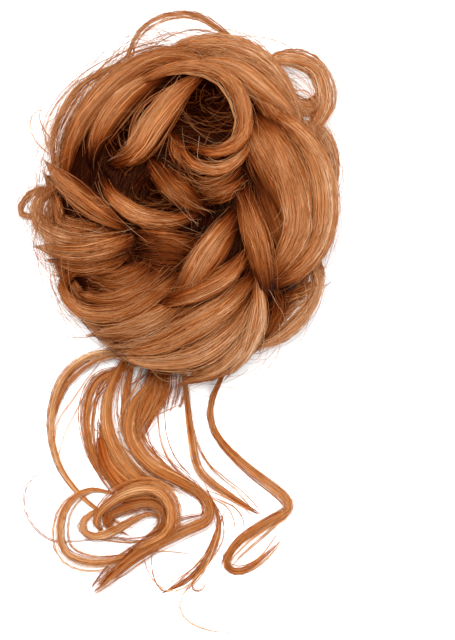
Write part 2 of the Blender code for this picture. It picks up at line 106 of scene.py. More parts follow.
# The core's side from the floor up: share of its outline, and height as a share of HEIGHT
CORE_SIDE = (
    (0.60, 0.004), (0.80, 0.004), (0.90, 0.04), (0.97, 0.12), (1.01, 0.20), (1.03, 0.28), (1.02, 0.42),
)
GAP = 0.0003
HOLLOW_TOP = 0.025
# Locks round the bun's side: how many, their turn in radians, the heights of their starts and how far
# they rise as shares of HEIGHT, and their half widths in metres
WRAPS = 30
WRAP_TURN, WRAP_START, WRAP_RISE, WRAP_WIDTH = (0.5, 0.95), (0.03, 0.15), (0.24, 0.36), (0.0040, 0.0065)

# Locks on the bun: name, width as a share of LOCK_WIDTH, lift over the dome as a share of HEIGHT,
# and the path from the bun's middle, in hundredths of HALF_WIDTH and of HALF_LENGTH
BUN_LOCKS = (
    ("outer_wisp", 0.24, -0.05, ((-84, 16), (-88, 40), (-74, 67), (-48, 82), (-18, 86))),
    ("left_fringe", 0.50, -0.10, ((-80, 16), (-79, 38), (-71, 55), (-55, 70))),
    ("left_sweep", 0.98, 0.00, ((-78, 14), (-76, 35), (-62, 58), (-38, 78), (-10, 88), (22, 82))),
    ("second_sweep", 1.00, 0.02, ((-62, 22), (-57, 42), (-44, 60), (-28, 72), (-10, 78))),
    ("pit_strand", 0.36, -0.08, ((-62, 20), (-58, 38), (-47, 53), (-36, 64))),
    ("diagonal_loop", 1.12, 0.05, ((-51, 25), (-33, 32), (-20, 48), (-4, 66), (12, 77))),
    ("crown_arch", 0.68, 0.12,
     ((-40, 66), (-20, 77), (6, 82), (28, 76), (40, 58), (38, 40), (20, 32), (-2, 38))),
    ("second_curl", 0.54, 0.06, ((43, 50), (41, 34), (25, 23), (4, 27), (-8, 46))),
    ("third_curl", 0.45, 0.02, ((41, 28), (30, 18), (14, 15), (-2, 24))),
    ("low_curl", 0.58, 0.03, ((42, 19), (31, 12), (18, 9), (7, 14))),
    ("top_sweep", 0.98, -0.03, ((-20, 82), (-2, 92), (26, 95), (50, 87), (68, 68), (78, 50))),
    ("top_inner", 0.96, 0.01, ((10, 86), (33, 82), (54, 69), (75, 51))),
    ("top_lobe", 0.84, -0.03, ((48, 80), (66, 88), (87, 82), (94, 64), (86, 48), (74, 38))),
    ("right_sweep", 1.22, 0.06, ((56, 58), (78, 43), (92, 18), (92, -12), (78, -32), (56, -44))),
    ("right_inner", 1.44, 0.05, ((46, 56), (60, 38), (72, 12), (73, -14), (54, -43))),
    ("top_lobe_low", 0.80, -0.06, ((62, 70), (73, 60), (84, 59), (91, 68))),
    ("right_under", 1.24, 0.02, ((41, 60), (46, 42), (56, 24), (67, 4), (74, -16))),
    ("right_rim", 0.44, -0.10, ((72, 52), (94, 44), (99, 18), (80, 0))),
    ("cross_lock", 1.05, 0.10, ((37, 17), (43, -4), (50, -23), (56, -50))),
    ("left_cross", 1.22, 0.07, ((36, 1), (24, -15), (10, -32), (-5, -50))),
    ("low_cross", 0.90, 0.05, ((45, -20), (28, -37), (6, -47), (-20, -54))),
    ("fan_upper", 1.22, 0.00, ((48, -34), (30, -52), (6, -65), (-16, -75), (-40, -80))),
    ("fan_lower", 1.14, -0.03, ((48, -44), (34, -64), (10, -80), (-14, -85), (-38, -84))),
    ("fan_end", 1.05, -0.06, ((46, -50), (42, -68), (26, -86), (2, -97))),
    ("pale_lock", 0.62, 0.05, ((48, -36), (50, -60), (42, -80), (30, -93))),
    ("right_arc", 0.62, -0.08, ((80, -26), (89, -40), (80, -58), (62, -72), (40, -78))),
    ("right_fill", 0.72, -0.05, ((58, -40), (62, -55), (54, -72))),
    ("right_ringlet", 0.36, -0.10, ((84, -22), (91, -34), (82, -44), (60, -50))),
    ("left_diagonal", 0.90, 0.05, ((-90, 26), (-73, 11), (-50, -4), (-36, -11))),
    ("left_lobe", 0.66, -0.04, ((-76, 18), (-97, 6), (-94, -10), (-68, -18), (-32, -11))),
    ("left_lobe_fill", 0.82, -0.07, ((-86, 10), (-80, -6), (-62, -10), (-42, -10))),
    ("left_tiny_loop", 0.22, -0.06, ((-76, 15), (-100, 12), (-110, 3), (-107, -3), (-84, -4))),
    ("left_low", 0.98, -0.02, ((-30, -14), (-50, -21), (-74, -24), (-94, -21))),
    ("left_low_fill", 0.98, -0.05, ((-30, -21), (-50, -28), (-68, -31), (-84, -29))),
    ("low_lobe", 0.74, 0.00, ((-66, -32), (-81, -42), (-68, -57), (-42, -58), (-15, -45), (2, -33))),
    ("low_lobe_inner", 0.82, -0.02, ((-70, -47), (-50, -50), (-28, -44), (-4, -30))),
    ("low_lobe_top", 0.82, -0.03, ((-68, -36), (-48, -39), (-30, -35), (-16, -26))),
    ("left_fan", 1.05, -0.02, ((6, -46), (-14, -58), (-36, -66), (-58, -70))),
    ("left_fan_low", 0.90, -0.05, ((14, -53), (-8, -66), (-26, -73), (-44, -77))),
    ("inner_u", 0.76, 0.03, ((-55, 25), (-48, 9), (-30, -3), (-8, -6), (13, -1))),
    ("inner_diagonal", 0.98, 0.06, ((-25, 31), (-10, 16), (7, 5), (19, -3))),
    ("inner_strand", 0.36, 0.06, ((-9, 46), (-6, 32), (5, 19))),
    ("centre_low", 0.90, -0.01, ((-36, -12), (-16, -17), (4, -20), (18, -18))),
    ("centre_dark", 0.98, -0.02, ((-34, -22), (-12, -25), (10, -27))),
    ("top_arc", 0.17, 0.02,
     ((-38, 70), (-36, 92), (-23, 108), (2, 113), (22, 105), (42, 88), (50, 74))),
)

# Trailing locks: name, width as a share of TAIL_LOCK_WIDTH, lift over the floor as a share of
# POCKET_HEIGHT, and the path from the tail's root, in hundredths of TAIL_SPREAD and of TAIL_LENGTH
CURL_LOCKS = (
    ("left_outer", 0.32, 0.0,
     ((-8, -3), (-42, -2), (-64, 7), (-72, 22), (-67, 37), (-52, 48), (-36, 55), (-27, 58), (-15, 60))),
    ("left_second", 0.27, 0.0, ((-10, -2), (-38, 0), (-60, 9), (-71, 24), (-68, 34))),
    ("left_third", 0.46, 0.0, ((-12, 2), (-38, 7), (-47, 20), (-41, 36), (-26, 46))),
    ("bundle_a", 0.68, 0.1, ((-14, -5), (-31, 14), (-27, 30), (-8, 42), (18, 46))),
    ("bundle_b", 0.46, 0.1, ((-10, -5), (-19, 16), (-14, 30), (3, 40), (28, 45))),
    ("bundle_main", 1.00, 0.2, ((16, -5), (4, 7), (-12, 16), (-15, 28), (0, 38), (22, 44), (42, 50))),
    ("bundle_fill", 1.30, 0.1, ((-36, 28), (-30, 38), (-14, 46), (6, 50))),
    ("bundle_fan", 1.50, 0.2, ((7, -2), (5, 10), (-4, 19), (-14, 28))),
    ("bend", 0.74, 0.3, ((16, 44), (38, 49), (42, 57), (22, 62), (-8, 70), (-40, 83))),
    ("curl_over", 0.66, 0.9,
     ((-36, 61), (-40, 58), (-34, 53), (-20, 48), (-5, 46), (7, 47), (15, 52), (16, 58), (10, 63),
      (-2, 66), (-16, 69))),
    ("curl_inner", 0.50, 0.5,
     ((-34, 53), (-44, 56), (-49, 60), (-42, 63), (-30, 62), (-15, 58), (-2, 55), (9, 57))),
    ("curl_fill", 0.80, 0.3,
     ((-25, 61), (-31, 59), (-28, 55), (-15, 52), (-2, 51), (7, 53), (10, 57), (6, 61), (-3, 64))),
    ("curl_left", 0.46, 0.1,
     ((-26, 48), (-46, 47), (-63, 55), (-63, 68), (-42, 73), (-10, 70), (12, 64))),
    ("wisp", 0.14, 0.0, ((42, 48), (48, 55), (49, 62), (44, 70), (35, 77), (29, 81))),
    ("wisp_fan", 0.10, 0.0, ((48, 61), (38, 73), (24, 80), (8, 84))),
)
THIN_LOCK_ROW = (
    "tail_thin_lock", 0.25, 0.0,
    ((20, -8), (26, 12), (29, 25), (34, 38), (44, 44), (58, 49), (70, 53), (80, 56)))
LONG_LOCK_ROW = (
    "tail_long_lock", 0.46, 0.0,
    ((60, -10), (51, 6), (43, 15), (44, 24), (55, 32), (70, 39), (86, 45), (96, 49), (101, 53),
     (95, 56), (80, 60), (64, 65), (55, 71), (55, 75), (66, 76), (80, 72), (92, 66)))

# Thin wisps beside the trailing locks: name, width in metres, and the same kind of path
TAIL_WISPS = (
    ("curl_thin", 0.0020,
     ((-36, 55), (-46, 56), (-52, 60), (-46, 63), (-33, 64), (-14, 65), (4, 63), (13, 59))),
    ("curl_high", 0.0022, ((-34, 60), (-25, 55), (-12, 50), (4, 49), (13, 53))),
    ("far_wisp", 0.0006,
     ((-2, 65), (-16, 65), (-29, 64), (-50, 65), (-70, 65), (-84, 60), (-91, 53), (-90, 46),
      (-81, 41), (-70, 40))),
    ("long_band", 0.0028, ((96, 56), (82, 62), (68, 68), (58, 73), (55, 76))),
    ("long_band_b", 0.0022, ((92, 55), (76, 60), (62, 66), (52, 72), (53, 77))),
    ("thin_right_b", 0.0009, ((28, 20), (34, 30), (41, 37), (54, 43), (67, 48), (78, 54))),
    ("thin_right_c", 0.0006, ((30, 25), (37, 34), (48, 41), (62, 47), (76, 55))),
    ("thin_mid", 0.0009, ((-6, 19), (-1, 28), (6, 35), (16, 40), (30, 44), (40, 47))),
    ("thin_mid_b", 0.0008, ((5, 17), (6, 26), (11, 34), (22, 41), (36, 46))),
    ("thin_mid_c", 0.0006, ((10, 19), (12, 28), (19, 36), (30, 42))),
    ("thin_edge", 0.0012, ((-9, 22), (-4, 29), (3, 34), (13, 39), (26, 43))),
    ("cross_left", 0.0007, ((-40, 25), (-30, 29), (-18, 32), (-6, 37), (6, 43))),
    ("cross_low", 0.0008, ((-24, 44), (-14, 40), (-4, 43), (6, 50))),
    ("fringe_edge", 0.0003, ((-12, 23.5), (6, 19.5), (24, 15.5))),
    ("fringe_a", 0.0040, ((0, 5), (-2, 13), (-5, 22))),
    ("fringe_b", 0.0042, ((8, 4), (6, 12), (2, 21))),
    ("fringe_c", 0.0042, ((16, 3), (15, 11), (11, 19))),
    ("fringe_d", 0.0038, ((24, 2), (23, 10), (19, 17))),
    ("wisp_long", 0.0007, ((40, 72), (31, 79), (22, 86), (22, 91), (34, 96), (64, 99))),
    ("wisp_a", 0.0004, ((44, 50), (52, 57), (52, 65), (42, 73), (31, 80))),
    ("wisp_b", 0.0004, ((46, 62), (40, 69), (28, 76), (14, 82), (8, 84))),
    ("wisp_c", 0.0003, ((45, 54), (47, 64), (37, 72), (22, 78), (10, 81))),
    ("wisp_d", 0.0003, ((50, 60), (44, 70), (36, 78), (25, 83))),
    ("wisp_short", 0.0006, ((44, 49), (52, 51), (60, 53), (66, 57), (67, 62))),
    ("wisp_short_b", 0.0004, ((46, 48), (56, 50), (69, 54), (76, 59))),
    ("wisp_short_c", 0.0004, ((45, 50), (55, 53), (60, 58), (60, 62))),
    ("hook", 0.0008, ((31, 79), (30, 82), (34, 83), (38, 82), (40, 79))),
    ("stray_bottom", 0.0004, ((-12, 68), (-1, 69), (14, 69), (31, 70))),
    ("stray_loop", 0.0003, ((1, 70), (1, 76), (6, 82), (13, 83), (25, 78))),
    ("stray_low", 0.0003, ((-5, 71), (0, 78), (13, 83), (27, 81), (42, 73))),
    ("left_fourth", 0.0007, ((-36, 1), (-46, 7), (-56, 14), (-67, 22), (-70, 31))),
    ("left_fifth", 0.0005, ((-40, 5), (-52, 17), (-62, 27), (-66, 36), (-60, 44))),
    ("left_inner", 0.0018, ((-28, 8), (-40, 15), (-44, 26), (-40, 37), (-28, 47), (-20, 51))),
    ("right_loop", 0.0009, ((54, 72), (60, 77), (74, 75), (88, 69), (96, 62))),
    ("right_loop_b", 0.0006, ((56, 73), (66, 74), (80, 70), (94, 60))),
    ("root_a", 0.0013, ((-16, 0), (-20, 8), (-20, 16), (-16, 26))),
    ("root_b", 0.0012, ((-2, -2), (-10, 8), (-17, 15), (-19, 24))),
    ("bend_a", 0.0026, ((2, 65), (-15, 69), (-28, 74), (-37, 79), (-42, 83))),
    ("bend_b", 0.0024, ((10, 66), (-10, 73), (-28, 79), (-41, 84))),
    ("bend_c", 0.0022, ((6, 65), (-14, 71), (-30, 77), (-43, 82))),
)

# Thin wisps over and round the bun: name, width in metres, lift, and the path as in BUN_LOCKS
BUN_WISPS = (
    ("loop_left", 0.0006, 0.00, ((-86, 30), (-95, 36), (-102, 44), (-103, 53), (-98, 58), (-90, 57))),
    ("loop_left_b", 0.0004, 0.00, ((-84, 36), (-93, 46), (-97, 55), (-93, 62))),
    ("arc_a", 0.0015, 0.02, ((-39, 68), (-36, 92), (-23, 108), (2, 113), (22, 104), (42, 88))),
    ("arc_f", 0.0011, 0.02, ((-40, 70), (-37, 91), (-24, 107), (0, 112), (18, 106), (34, 96))),
    ("arc_b", 0.0009, 0.02, ((-42, 74), (-37, 92), (-20, 106), (3, 111), (20, 104), (32, 96))),
    ("arc_c", 0.0008, 0.02, ((-26, 90), (-13, 98), (3, 103), (18, 102), (40, 94), (52, 86))),
    ("arc_d", 0.0006, 0.02, ((20, 96), (40, 100), (60, 98), (74, 92), (86, 84))),
    ("arc_e", 0.0005, 0.02, ((-10, 94), (8, 100), (28, 99), (46, 93))),
    ("fringe_out", 0.0008, -0.06, ((-80, 24), (-92, 38), (-90, 54), (-76, 70), (-58, 80))),
    ("fringe_out_b", 0.0006, -0.06, ((-84, 30), (-95, 46), (-86, 64), (-66, 80), (-44, 90))),
    ("fringe_out_c", 0.0006, -0.06, ((-72, 58), (-60, 78), (-42, 90), (-20, 96), (0, 97))),
    ("left_out", 0.0009, -0.04, ((-74, 10), (-90, 14), (-100, 10), (-105, 2), (-100, -2))),
    ("low_tip", 0.0012, -0.06, ((-40, -30), (-60, -34), (-80, -37), (-92, -35))),
    ("low_tip_b", 0.0010, -0.06, ((-36, -62), (-54, -68), (-68, -72), (-80, -71))),
    ("low_tip_c", 0.0010, -0.06, ((-44, -40), (-66, -43), (-83, -50), (-86, -56))),
    ("crown_fill", 0.0070, -0.03, ((26, 76), (40, 72), (53, 62), (62, 50), (68, 38))),
    ("crown_fill_b", 0.0050, -0.06, ((44, 66), (52, 56), (56, 44), (58, 30))),
    ("sweep_fill", 0.0060, -0.03, ((60, 50), (74, 36), (82, 14), (83, -10), (70, -32))),
    ("slot_fill", 0.0095, -0.06, ((47, 34), (51, 14), (58, -6), (65, -24), (62, -40))),
    ("low_lobe_under", 0.0080, -0.11, ((-76, -30), (-72, -42), (-60, -50), (-46, -54))),
    ("left_lobe_under", 0.0080, -0.22, ((-92, 20), (-84, 10), (-74, 0), (-62, -6))),
    ("rim_under", 0.0060, -0.20, ((78, 50), (92, 40), (95, 18), (86, 0))),
    ("right_tip", 0.0009, -0.08, ((62, -38), (78, -42), (90, -44), (99, -40))),
    ("right_loop", 0.0010, -0.08, ((70, -26), (86, -30), (93, -40), (84, -50), (70, -46))),
)

# Dark hollows between the locks: name, place, half width and half length in bun shares, and
# depth as a share of the bun's height
PITS = (
    ("crown_pit", (0.19, 0.62), (0.20, 0.17), 0.34),
    ("left_pit", (-0.37, 0.46), (0.11, 0.20), 0.30),
    ("middle_pit", (-0.13, 0.08), (0.22, 0.10), 0.26),
)
PIT_FALL = 1.6
# Places round the band, in degrees from +X, where wells in the hair show it
WELL_PLACES = (5, -15, -50)
WELL_RADIUS = 0.0032

# Strands and ribbons, in metres
STRAND_RADIUS = 0.000095
TAIL_STRAND_SHARE = 0.85
WISP_STRAND_SHARE = 1.15
WISP_WIDTH = 0.0006
FLYAWAY_RADIUS = 0.000060
CLUMP_WIDTH = 0.0013
STRAND_SIDE = 1.45
RIBBON_LOW, RIBBON_HIGH = 0.00022, 0.00060
RIBBON_THICKNESS = 0.26
RIBBON_TOP_TONE = 0.72
RIBBONS_PER_METRE = 2900
RIBBON_SECTIONS = 10
TRIANGLES_A_PIECE = 180000
# Corners of a strand's and of a ribbon's ring: across and above, as shares of its half sizes
STRAND_CORNERS = [(math.sin(turn), math.cos(turn)) for turn in (0, 2 * math.pi / 3, 4 * math.pi / 3)]
RIBBON_CORNERS = ((-1, 0), (0, -1), (1, 0), (0, 1))
# Columns of cells in the map of each kind of piece
STRAND_COLUMNS, RIBBON_COLUMNS, BODY_COLUMNS = 16, 12, 6

# Groups of strands: strands for each metre of a lock's width, sections in one, how far some stray
STRAND_GROUPS = {
    "side_strands": (3500, 8, 0.0022),
    "short_strands": (8300, 9, 0.0026),
    "bun_strands": (8300, 12, 0.0026),
    "tail_strands_a": (9600, 10, 0.0016),
    "tail_strands_b": (9600, 15, 0.0016),
    "tail_strands_c": (9600, 25, 0.0016),
}
# Groups of trailing bundles by length, in metres: name, from and to
TAIL_GROUPS = (
    ("tail_strands_a", 0, 0.050), ("tail_strands_b", 0.050, 0.085), ("tail_strands_c", 0.085, 9),
)
# A lock wider than this lies under its threads, and gets one in this many of its strands
WIDE_LOCK, WIDE_SHARE = 0.0025, 3
# Bun locks shorter than this, in metres, are in the group short_strands
SHORT_LOCK = 0.050

# Bodies of the locks: sections along and around, and their size as a share of the lock's
BODY_GRIDS = {
    "bun_locks": (30, 20, 0.84),
    "side_locks": (20, 14, 0.84),
    "bun_fill": (30, 16, 0.80),
    "tail_locks": (40, 8, 0.42),
    "tail_fill": (40, 14, 0.46),
    "thin_lock": (48, 8, 0.42),
    "long_lock": (84, 8, 0.42),
}
BODY_TURN = 2.4
BODY_SEED, RIBBON_SEED = 3.7, 1.37
FREE_FADE = 0.015

# Locks that lie side by side as one sheet of hair, with loose strands between them
SHEETS = (
    ("outer_wisp", "left_sweep"), ("top_sweep", "top_inner"), ("right_sweep", "right_inner"),
    ("right_inner", "right_under"), ("right_rim", "right_sweep"), ("third_curl", "low_curl"),
    ("fan_upper", "fan_lower"), ("fan_lower", "fan_end"), ("left_fan", "fan_upper"),
    ("left_fan_low", "left_fan"), ("left_fan_low", "fan_lower"), ("low_lobe_inner", "low_lobe_top"),
    ("left_low", "left_low_fill"), ("left_lobe", "left_lobe_fill"), ("left_lobe_fill", "left_low"),
    ("centre_low", "centre_dark"), ("left_low_fill", "low_lobe_top"), ("top_lobe", "top_lobe_low"),
    ("pale_lock", "fan_end"), ("right_arc", "right_ringlet"), ("centre_dark", "left_fan"),
)
# Strands and ribbons in a sheet: how many, how high they rise in metres, and how much they wave
SHEET_STRANDS = (34, 0.0022, 0.10)
SHEET_RIBBONS = (7, 0.0004, 0.05)
# Painted shade on the ribbons that lie between the locks of a sheet
SHEET_RIBBON_SHADE = 0.05

# How far a lock's strands run on past its two ends, and how deep they dive there, in metres
END_REACH = 0.009
END_DIVE = 0.0060
# How far painted shade reaches from a buried end, in metres
END_SHADE = 0.020

# Thin wisps beside each lock: how many, how far they leave it and their half width in metres
BUN_COMPANIONS = (2, 1.5, 0.0009)
TAIL_COMPANIONS = (3, 1.8, 0.0004)

# Stray hairs: how many of each kind, and for those beside locks how far they leave it and rise
UNDER_STRANDS, UNDER_SECTIONS = 620, 10
RIM_HAIRS = 340
PIT_HAIRS = 60
STRAY_SECTIONS = 14
BUN_STRAYS = (15, 0.0050, 0.0024)
TAIL_STRAYS = (12, 0.0032, 0.0016)

# Tones run from 0, nearly black brown, to 1, pale copper gold
MIDDLE_TONE = 0.62
# Each lock's tone above or below MIDDLE_TONE: partly its own colour, partly painted shade on fill locks
# that lie under others, and painted light on the fan of locks that slopes away from the key lamp
LOCK_TONES_LIGHT_AND_SHADE = {
    "pale_lock": 0.18, "right_rim": 0.06, "top_lobe": 0.10, "top_lobe_low": 0.02, "outer_wisp": 0.08,
    "centre_dark": -0.16, "centre_low": -0.10, "pit_strand": -0.06, "left_lobe_fill": -0.12,
    "left_low_fill": -0.10, "right_fill": -0.14, "low_lobe_top": -0.04, "right_under": -0.03,
    "fan_upper": 0.05, "fan_lower": 0.06, "fan_end": 0.05, "left_fan": 0.05, "left_fan_low": 0.04,
    "low_lobe": 0.03, "low_lobe_inner": 0.02, "low_cross": 0.03, "right_ringlet": -0.06,
    "third_curl": -0.05, "left_fringe": -0.03, "inner_strand": 0.04, "slot_fill": -0.12,
    "rim_under": -0.10, "fringe_edge": 0.10, "stray_loop": 0.08, "stray_low": 0.08,
    "left_diagonal": 0.06, "crown_arch": 0.05, "diagonal_loop": 0.04, "bundle_fill": -0.06,
    "bundle_fan": -0.06, "curl_over": 0.03,
}
# How much tones differ from lock to lock, from clump to clump and from strand to strand
LOCK_SPREAD, CLUMP_SPREAD, STRAND_SPREAD = 0.05, 0.045, 0.066
# Painted shade at the sides of the locks on the bun and of the loose trailing locks
SIDE_PAINTED_SHADE, TAIL_SIDE_PAINTED_SHADE = 0.26, 0.15
# Painted shade at buried ends, and at the roots of trailing locks under the bun
END_PAINTED_SHADE, ROOT_PAINTED_SHADE = 0.50, 0.25
# Painted highlight at one place along each lock
PAINTED_HIGHLIGHT = 0.08
# Painted light on loose locks, and painted shade on wide trailing locks that lie under their threads
LOOSE_PAINTED_LIGHT, WIDE_PAINTED_SHADE = 0.09, 0.05

# Creases of a lock's surface: depth as a share of its size, number round it, and twist along it
CREASES = ((0.10, 3, 2.4), (0.07, 7, -3.0), (0.035, 15, 2.0))
# How far pieces stay over the floor, in metres
CLEARANCE, LOCK_CLEARANCE, RIBBON_CLEARANCE = 0.0001, 0.0002, 0.0004

# The thin bundles that make up a trailing lock, in metres, and how much they fan out at its end
THREAD_WIDTH = 0.0019
THREAD_FAN = 0.35
THREAD_TONES = 0.045

# Painted shade where the locks turn down into the bun: name, place and reach in bun shares, and how much
# darker it is
PAINTED_SHADE_PLACES = (
    ("middle", (-0.02, 0.27), 0.42, 0.10),
    ("left_pocket", (-0.57, 0.21), 0.17, 0.28),
    ("low_pocket", (0.24, -0.03), 0.13, 0.16),
    ("right_pocket", (0.53, 0.14), 0.12, 0.12),
)
# Where painted light on the bun's rim starts and how far it grows, and how far to its front that holds
RIM_START, RIM_REACH, RIM_FRONT = 0.98, 0.20, -0.86
# How much painted light the rim gets
RIM_PAINTED_LIGHT = 0.13

# Colours at each tone, for the bun and for the tail, and the tint of their gloss
HAIR_TONES = (
    (0.00, (0.0080, 0.0009, 0.0002, 1.0)),
    (0.25, (0.0640, 0.0092, 0.0011, 1.0)),
    (0.50, (0.2040, 0.0500, 0.0095, 1.0)),
    (0.75, (0.4200, 0.1820, 0.0720, 1.0)),
    (1.00, (0.6400, 0.4400, 0.2800, 1.0)),
)
TAIL_TONES = (
    (0.00, (0.0080, 0.0010, 0.0002, 1.0)),
    (0.25, (0.0700, 0.0090, 0.0008, 1.0)),
    (0.50, (0.2250, 0.0400, 0.0035, 1.0)),
    (0.75, (0.4600, 0.1740, 0.0500, 1.0)),
    (1.00, (0.6600, 0.4400, 0.2400, 1.0)),
)
GLOSS_TINT = (1.0, 0.58, 0.30, 1.0)
# Roughness and specular level, then the noise's scale, detail and share in the tone
STRAND_GLOSS, STRAND_NOISE = (0.36, 0.13), (140, 2, 0.30)
LOCK_GLOSS, LOCK_NOISE = (0.55, 0.02), (1, 3, 0.60)
STREAKS_ACROSS, STREAKS_ALONG = 2600, 55
BUMP_STRENGTH, BUMP_DISTANCE = 0.8, 0.0004
BAND_GLOSS, BAND_WEAVE = (0.8, 0.2), (2400, 2)
BAND_TONES = ((0.3, (0.004, 0.004, 0.0045, 1.0)), (0.7, (0.02, 0.02, 0.022, 1.0)))
BAND_STEPS, BAND_SIDES = 192, 20

# The floor, the light and the camera
FLOOR_REACH = 3.0
FLOOR_GLOSS = (0.9, 0.1)
FLOOR_COLOUR = (0.93, 0.93, 0.93, 1)
WORLD_LIGHT = 0.54
LIGHT_TARGET = (0, 0.03, 0.02)
# Area lights: name, place, size in metres and power in watts
LIGHTS = (
    ("key", (-0.06, 0.26, 1.60), 0.55, 37),
    ("side", (-0.60, 0.70, 1.00), 0.44, 9),
    ("fill", (0.80, 0.10, 1.00), 0.60, 8),
)
CAMERA_PLACE = (0.0222, 0.0022, 2.52)
CAMERA_DISTANCE = 2.5
SENSOR_SIZE = 36
PHOTO_HEIGHT, METRES_A_PIXEL = 640, 0.00044


def uniform(count, low, high):
    """One random number for each row of strands."""
    return rng.uniform(low, high, (count, 1))


def normal(count, size):
    """One random offset round 0 for each row of strands."""
    return rng.normal(0, size, (count, 1))


def steps_along(sections):
    return np.linspace(0, 1, sections)[None, :]


def swell(share, power=1):
    """Nothing at both ends of a length and most in its middle."""
    return np.sin(np.pi * share) ** power


def fade_in(value):
    return np.clip(value, 0, 1)


def unit(vectors):
    return vectors / np.maximum(np.linalg.norm(vectors, axis=-1, keepdims=True), 1e-12)


def length_of(path):
    return float(np.linalg.norm(np.diff(path, axis=0), axis=1).sum())


def width_of(lock_):
    return float(np.max(lock_.half_width))


def smooth_path(points, count):
    """Points evenly spaced along a smooth curve through the given points, which are in hundredths."""
    through = np.array(points) / 100
    first = 2 * through[0] - through[1]
    last = 2 * through[-1] - through[-2]
    knots = np.vstack([first, through, last])
    t = np.linspace(0, 1, 16, endpoint=False)[:, None]
    spans = []
    for index in range(1, len(knots) - 2):
        before, start, end, after = knots[index - 1:index + 3]
        spans.append(0.5 * (2 * start + (end - before) * t
                            + (2 * before - 5 * start + 4 * end - after) * t ** 2
                            + (3 * start - before - 3 * end + after) * t ** 3))
    fine = np.vstack(spans + [through[-1:]])
    steps = np.linalg.norm(np.diff(fine, axis=0), axis=1)
    length = np.concatenate([[0], np.cumsum(steps)])
    places = np.linspace(0, length[-1], count)
    return np.stack([np.interp(places, length, fine[:, axis]) for axis in range(2)], axis=1)


def core_radius(across, along):
    """Distance from the bun's middle, with 1 at the core's outline."""
    return np.hypot(across * HALF_WIDTH / CORE_HALF_WIDTH, along * HALF_LENGTH / CORE_HALF_LENGTH)


def dome_height(radius):
    """Height of the hair over the core, which falls to the sides and dips in the middle."""
    dome = DOME_PEAK * np.cos(DOME_FALL * np.minimum(radius, DOME_EDGE)) ** DOME_POWER
    return HEIGHT * (dome - DIMPLE_DEPTH * np.exp(-(radius / DIMPLE_RADIUS) ** 2))


def dome_normals(across, along):
    middle = dome_height(core_radius(across, along))
    right = dome_height(core_radius(across + SLOPE_STEP, along))
    back = dome_height(core_radius(across, along + SLOPE_STEP))
    slope_x = (right - middle) / (SLOPE_STEP * HALF_WIDTH)
    slope_y = (back - middle) / (SLOPE_STEP * HALF_LENGTH)
    return unit(np.stack([-slope_x, -slope_y, np.ones_like(middle)], axis=-1))


def bun_points(x, y, height):
    """Points at x and y in metres from the bun's middle."""
    return np.stack([MIDDLE[0] + x, MIDDLE[1] + y, height], axis=-1)


def pit_depths(x, y):
    """How deep each dark hollow is at x and y in metres from the bun's middle."""
    for _, place, halves, depth in PITS:
        distance = ((x / HALF_WIDTH - place[0]) / halves[0]) ** 2
        distance = distance + ((y / HALF_LENGTH - place[1]) / halves[1]) ** 2
        yield depth * HEIGHT * np.exp(-PIT_FALL * distance)


def lock(name, path, normals, half_width, half_height, depth, dark=(0.0, 0.0), free=False):
    """A lock's shape along its path.

    dark is the painted shade that darkens it towards its start and its end, and free says that its end
    lies loose.
    """
    tangents = unit(np.gradient(path, axis=0))
    side = unit(np.cross(tangents, normals))
    return SimpleNamespace(
        name=name, path=path, side=side, up=unit(np.cross(side, tangents)), half_width=half_width,
        half_height=half_height, depth=depth, length=length_of(path), dark=dark, free=free,
        # A painted highlight lies at a random place along the lock
        painted_highlight=rng.uniform(0.32, 0.68), phase=rng.uniform(0, 2 * np.pi, 4),
        # A loose lock's tone gets painted light
        tone=MIDDLE_TONE + LOCK_TONES_LIGHT_AND_SHADE.get(name, 0) + rng.normal(0, LOCK_SPREAD) + LOOSE_PAINTED_LIGHT * free)


def end_taper(share, end=END_WIDTH):
    return end + (1 - end) * swell(share, FILL_POWER)


def bun_lock(name, width_share, lift, points):
    """A lock on the dome, with its two ends sunk into it."""
    across, along = smooth_path(points, PATH_POINTS).T
    share = np.linspace(0, 1, len(across))
    taper = end_taper(share)
    bow = swell(share, BOW_POWER)
    height = dome_height(core_radius(across, along)) + (lift * bow - END_SINK * (1 - bow)) * HEIGHT
    path = bun_points(across * HALF_WIDTH, along * HALF_LENGTH, height)
    half_height = min(width_share, 1) * LOCK_THICKNESS / 2 * taper
    keel = 1 if width_share < THIN_LOCK else 2
    inside = core_radius(across[[0, -1]], along[[0, -1]])
    # Painted shade on the ends that sink into the bun
    dark = END_PAINTED_SHADE * fade_in((BURIED_EDGE - inside) / BURIED_REACH)
    return lock(name, path, dome_normals(across, along), width_share * LOCK_WIDTH / 2 * taper,
                half_height, keel * half_height, dark)


def tail_lock(name, width_share, lift, points):
    """A trailing lock on the floor, whose root lies up in the bun's pocket."""
    across, along = smooth_path(points, TAIL_PATH_POINTS).T
    share = np.linspace(0, 1, len(across))
    taper = end_taper(share, TAIL_END_WIDTH)
    half_height = min(width_share, 1) * TAIL_LOCK_THICKNESS / 2 * taper
    has_root = along[0] < ROOT_START
    rooted = fade_in(1 - along / ROOT_REACH) ** 2 * has_root
    lying = half_height + lift * POCKET_HEIGHT * swell(share, BOW_POWER)
    height = lying + (POCKET_HEIGHT - half_height - lying) * rooted
    x = TAIL_ROOT[0] + across * TAIL_SPREAD
    y = TAIL_ROOT[1] - along * TAIL_LENGTH
    path = np.stack([x, y, height], axis=1)
    normals = np.tile([0.0, 0.0, 1.0], (len(path), 1))
    depth = np.minimum(path[:, 2] - LOCK_CLEARANCE, 2.2 * half_height)
    # A rooted lock gets painted shade at its root, under the bun
    return lock(name, path, normals, width_share * TAIL_LOCK_WIDTH / 2 * taper, half_height, depth,
                (ROOT_PAINTED_SHADE * has_root, 0.0), True)


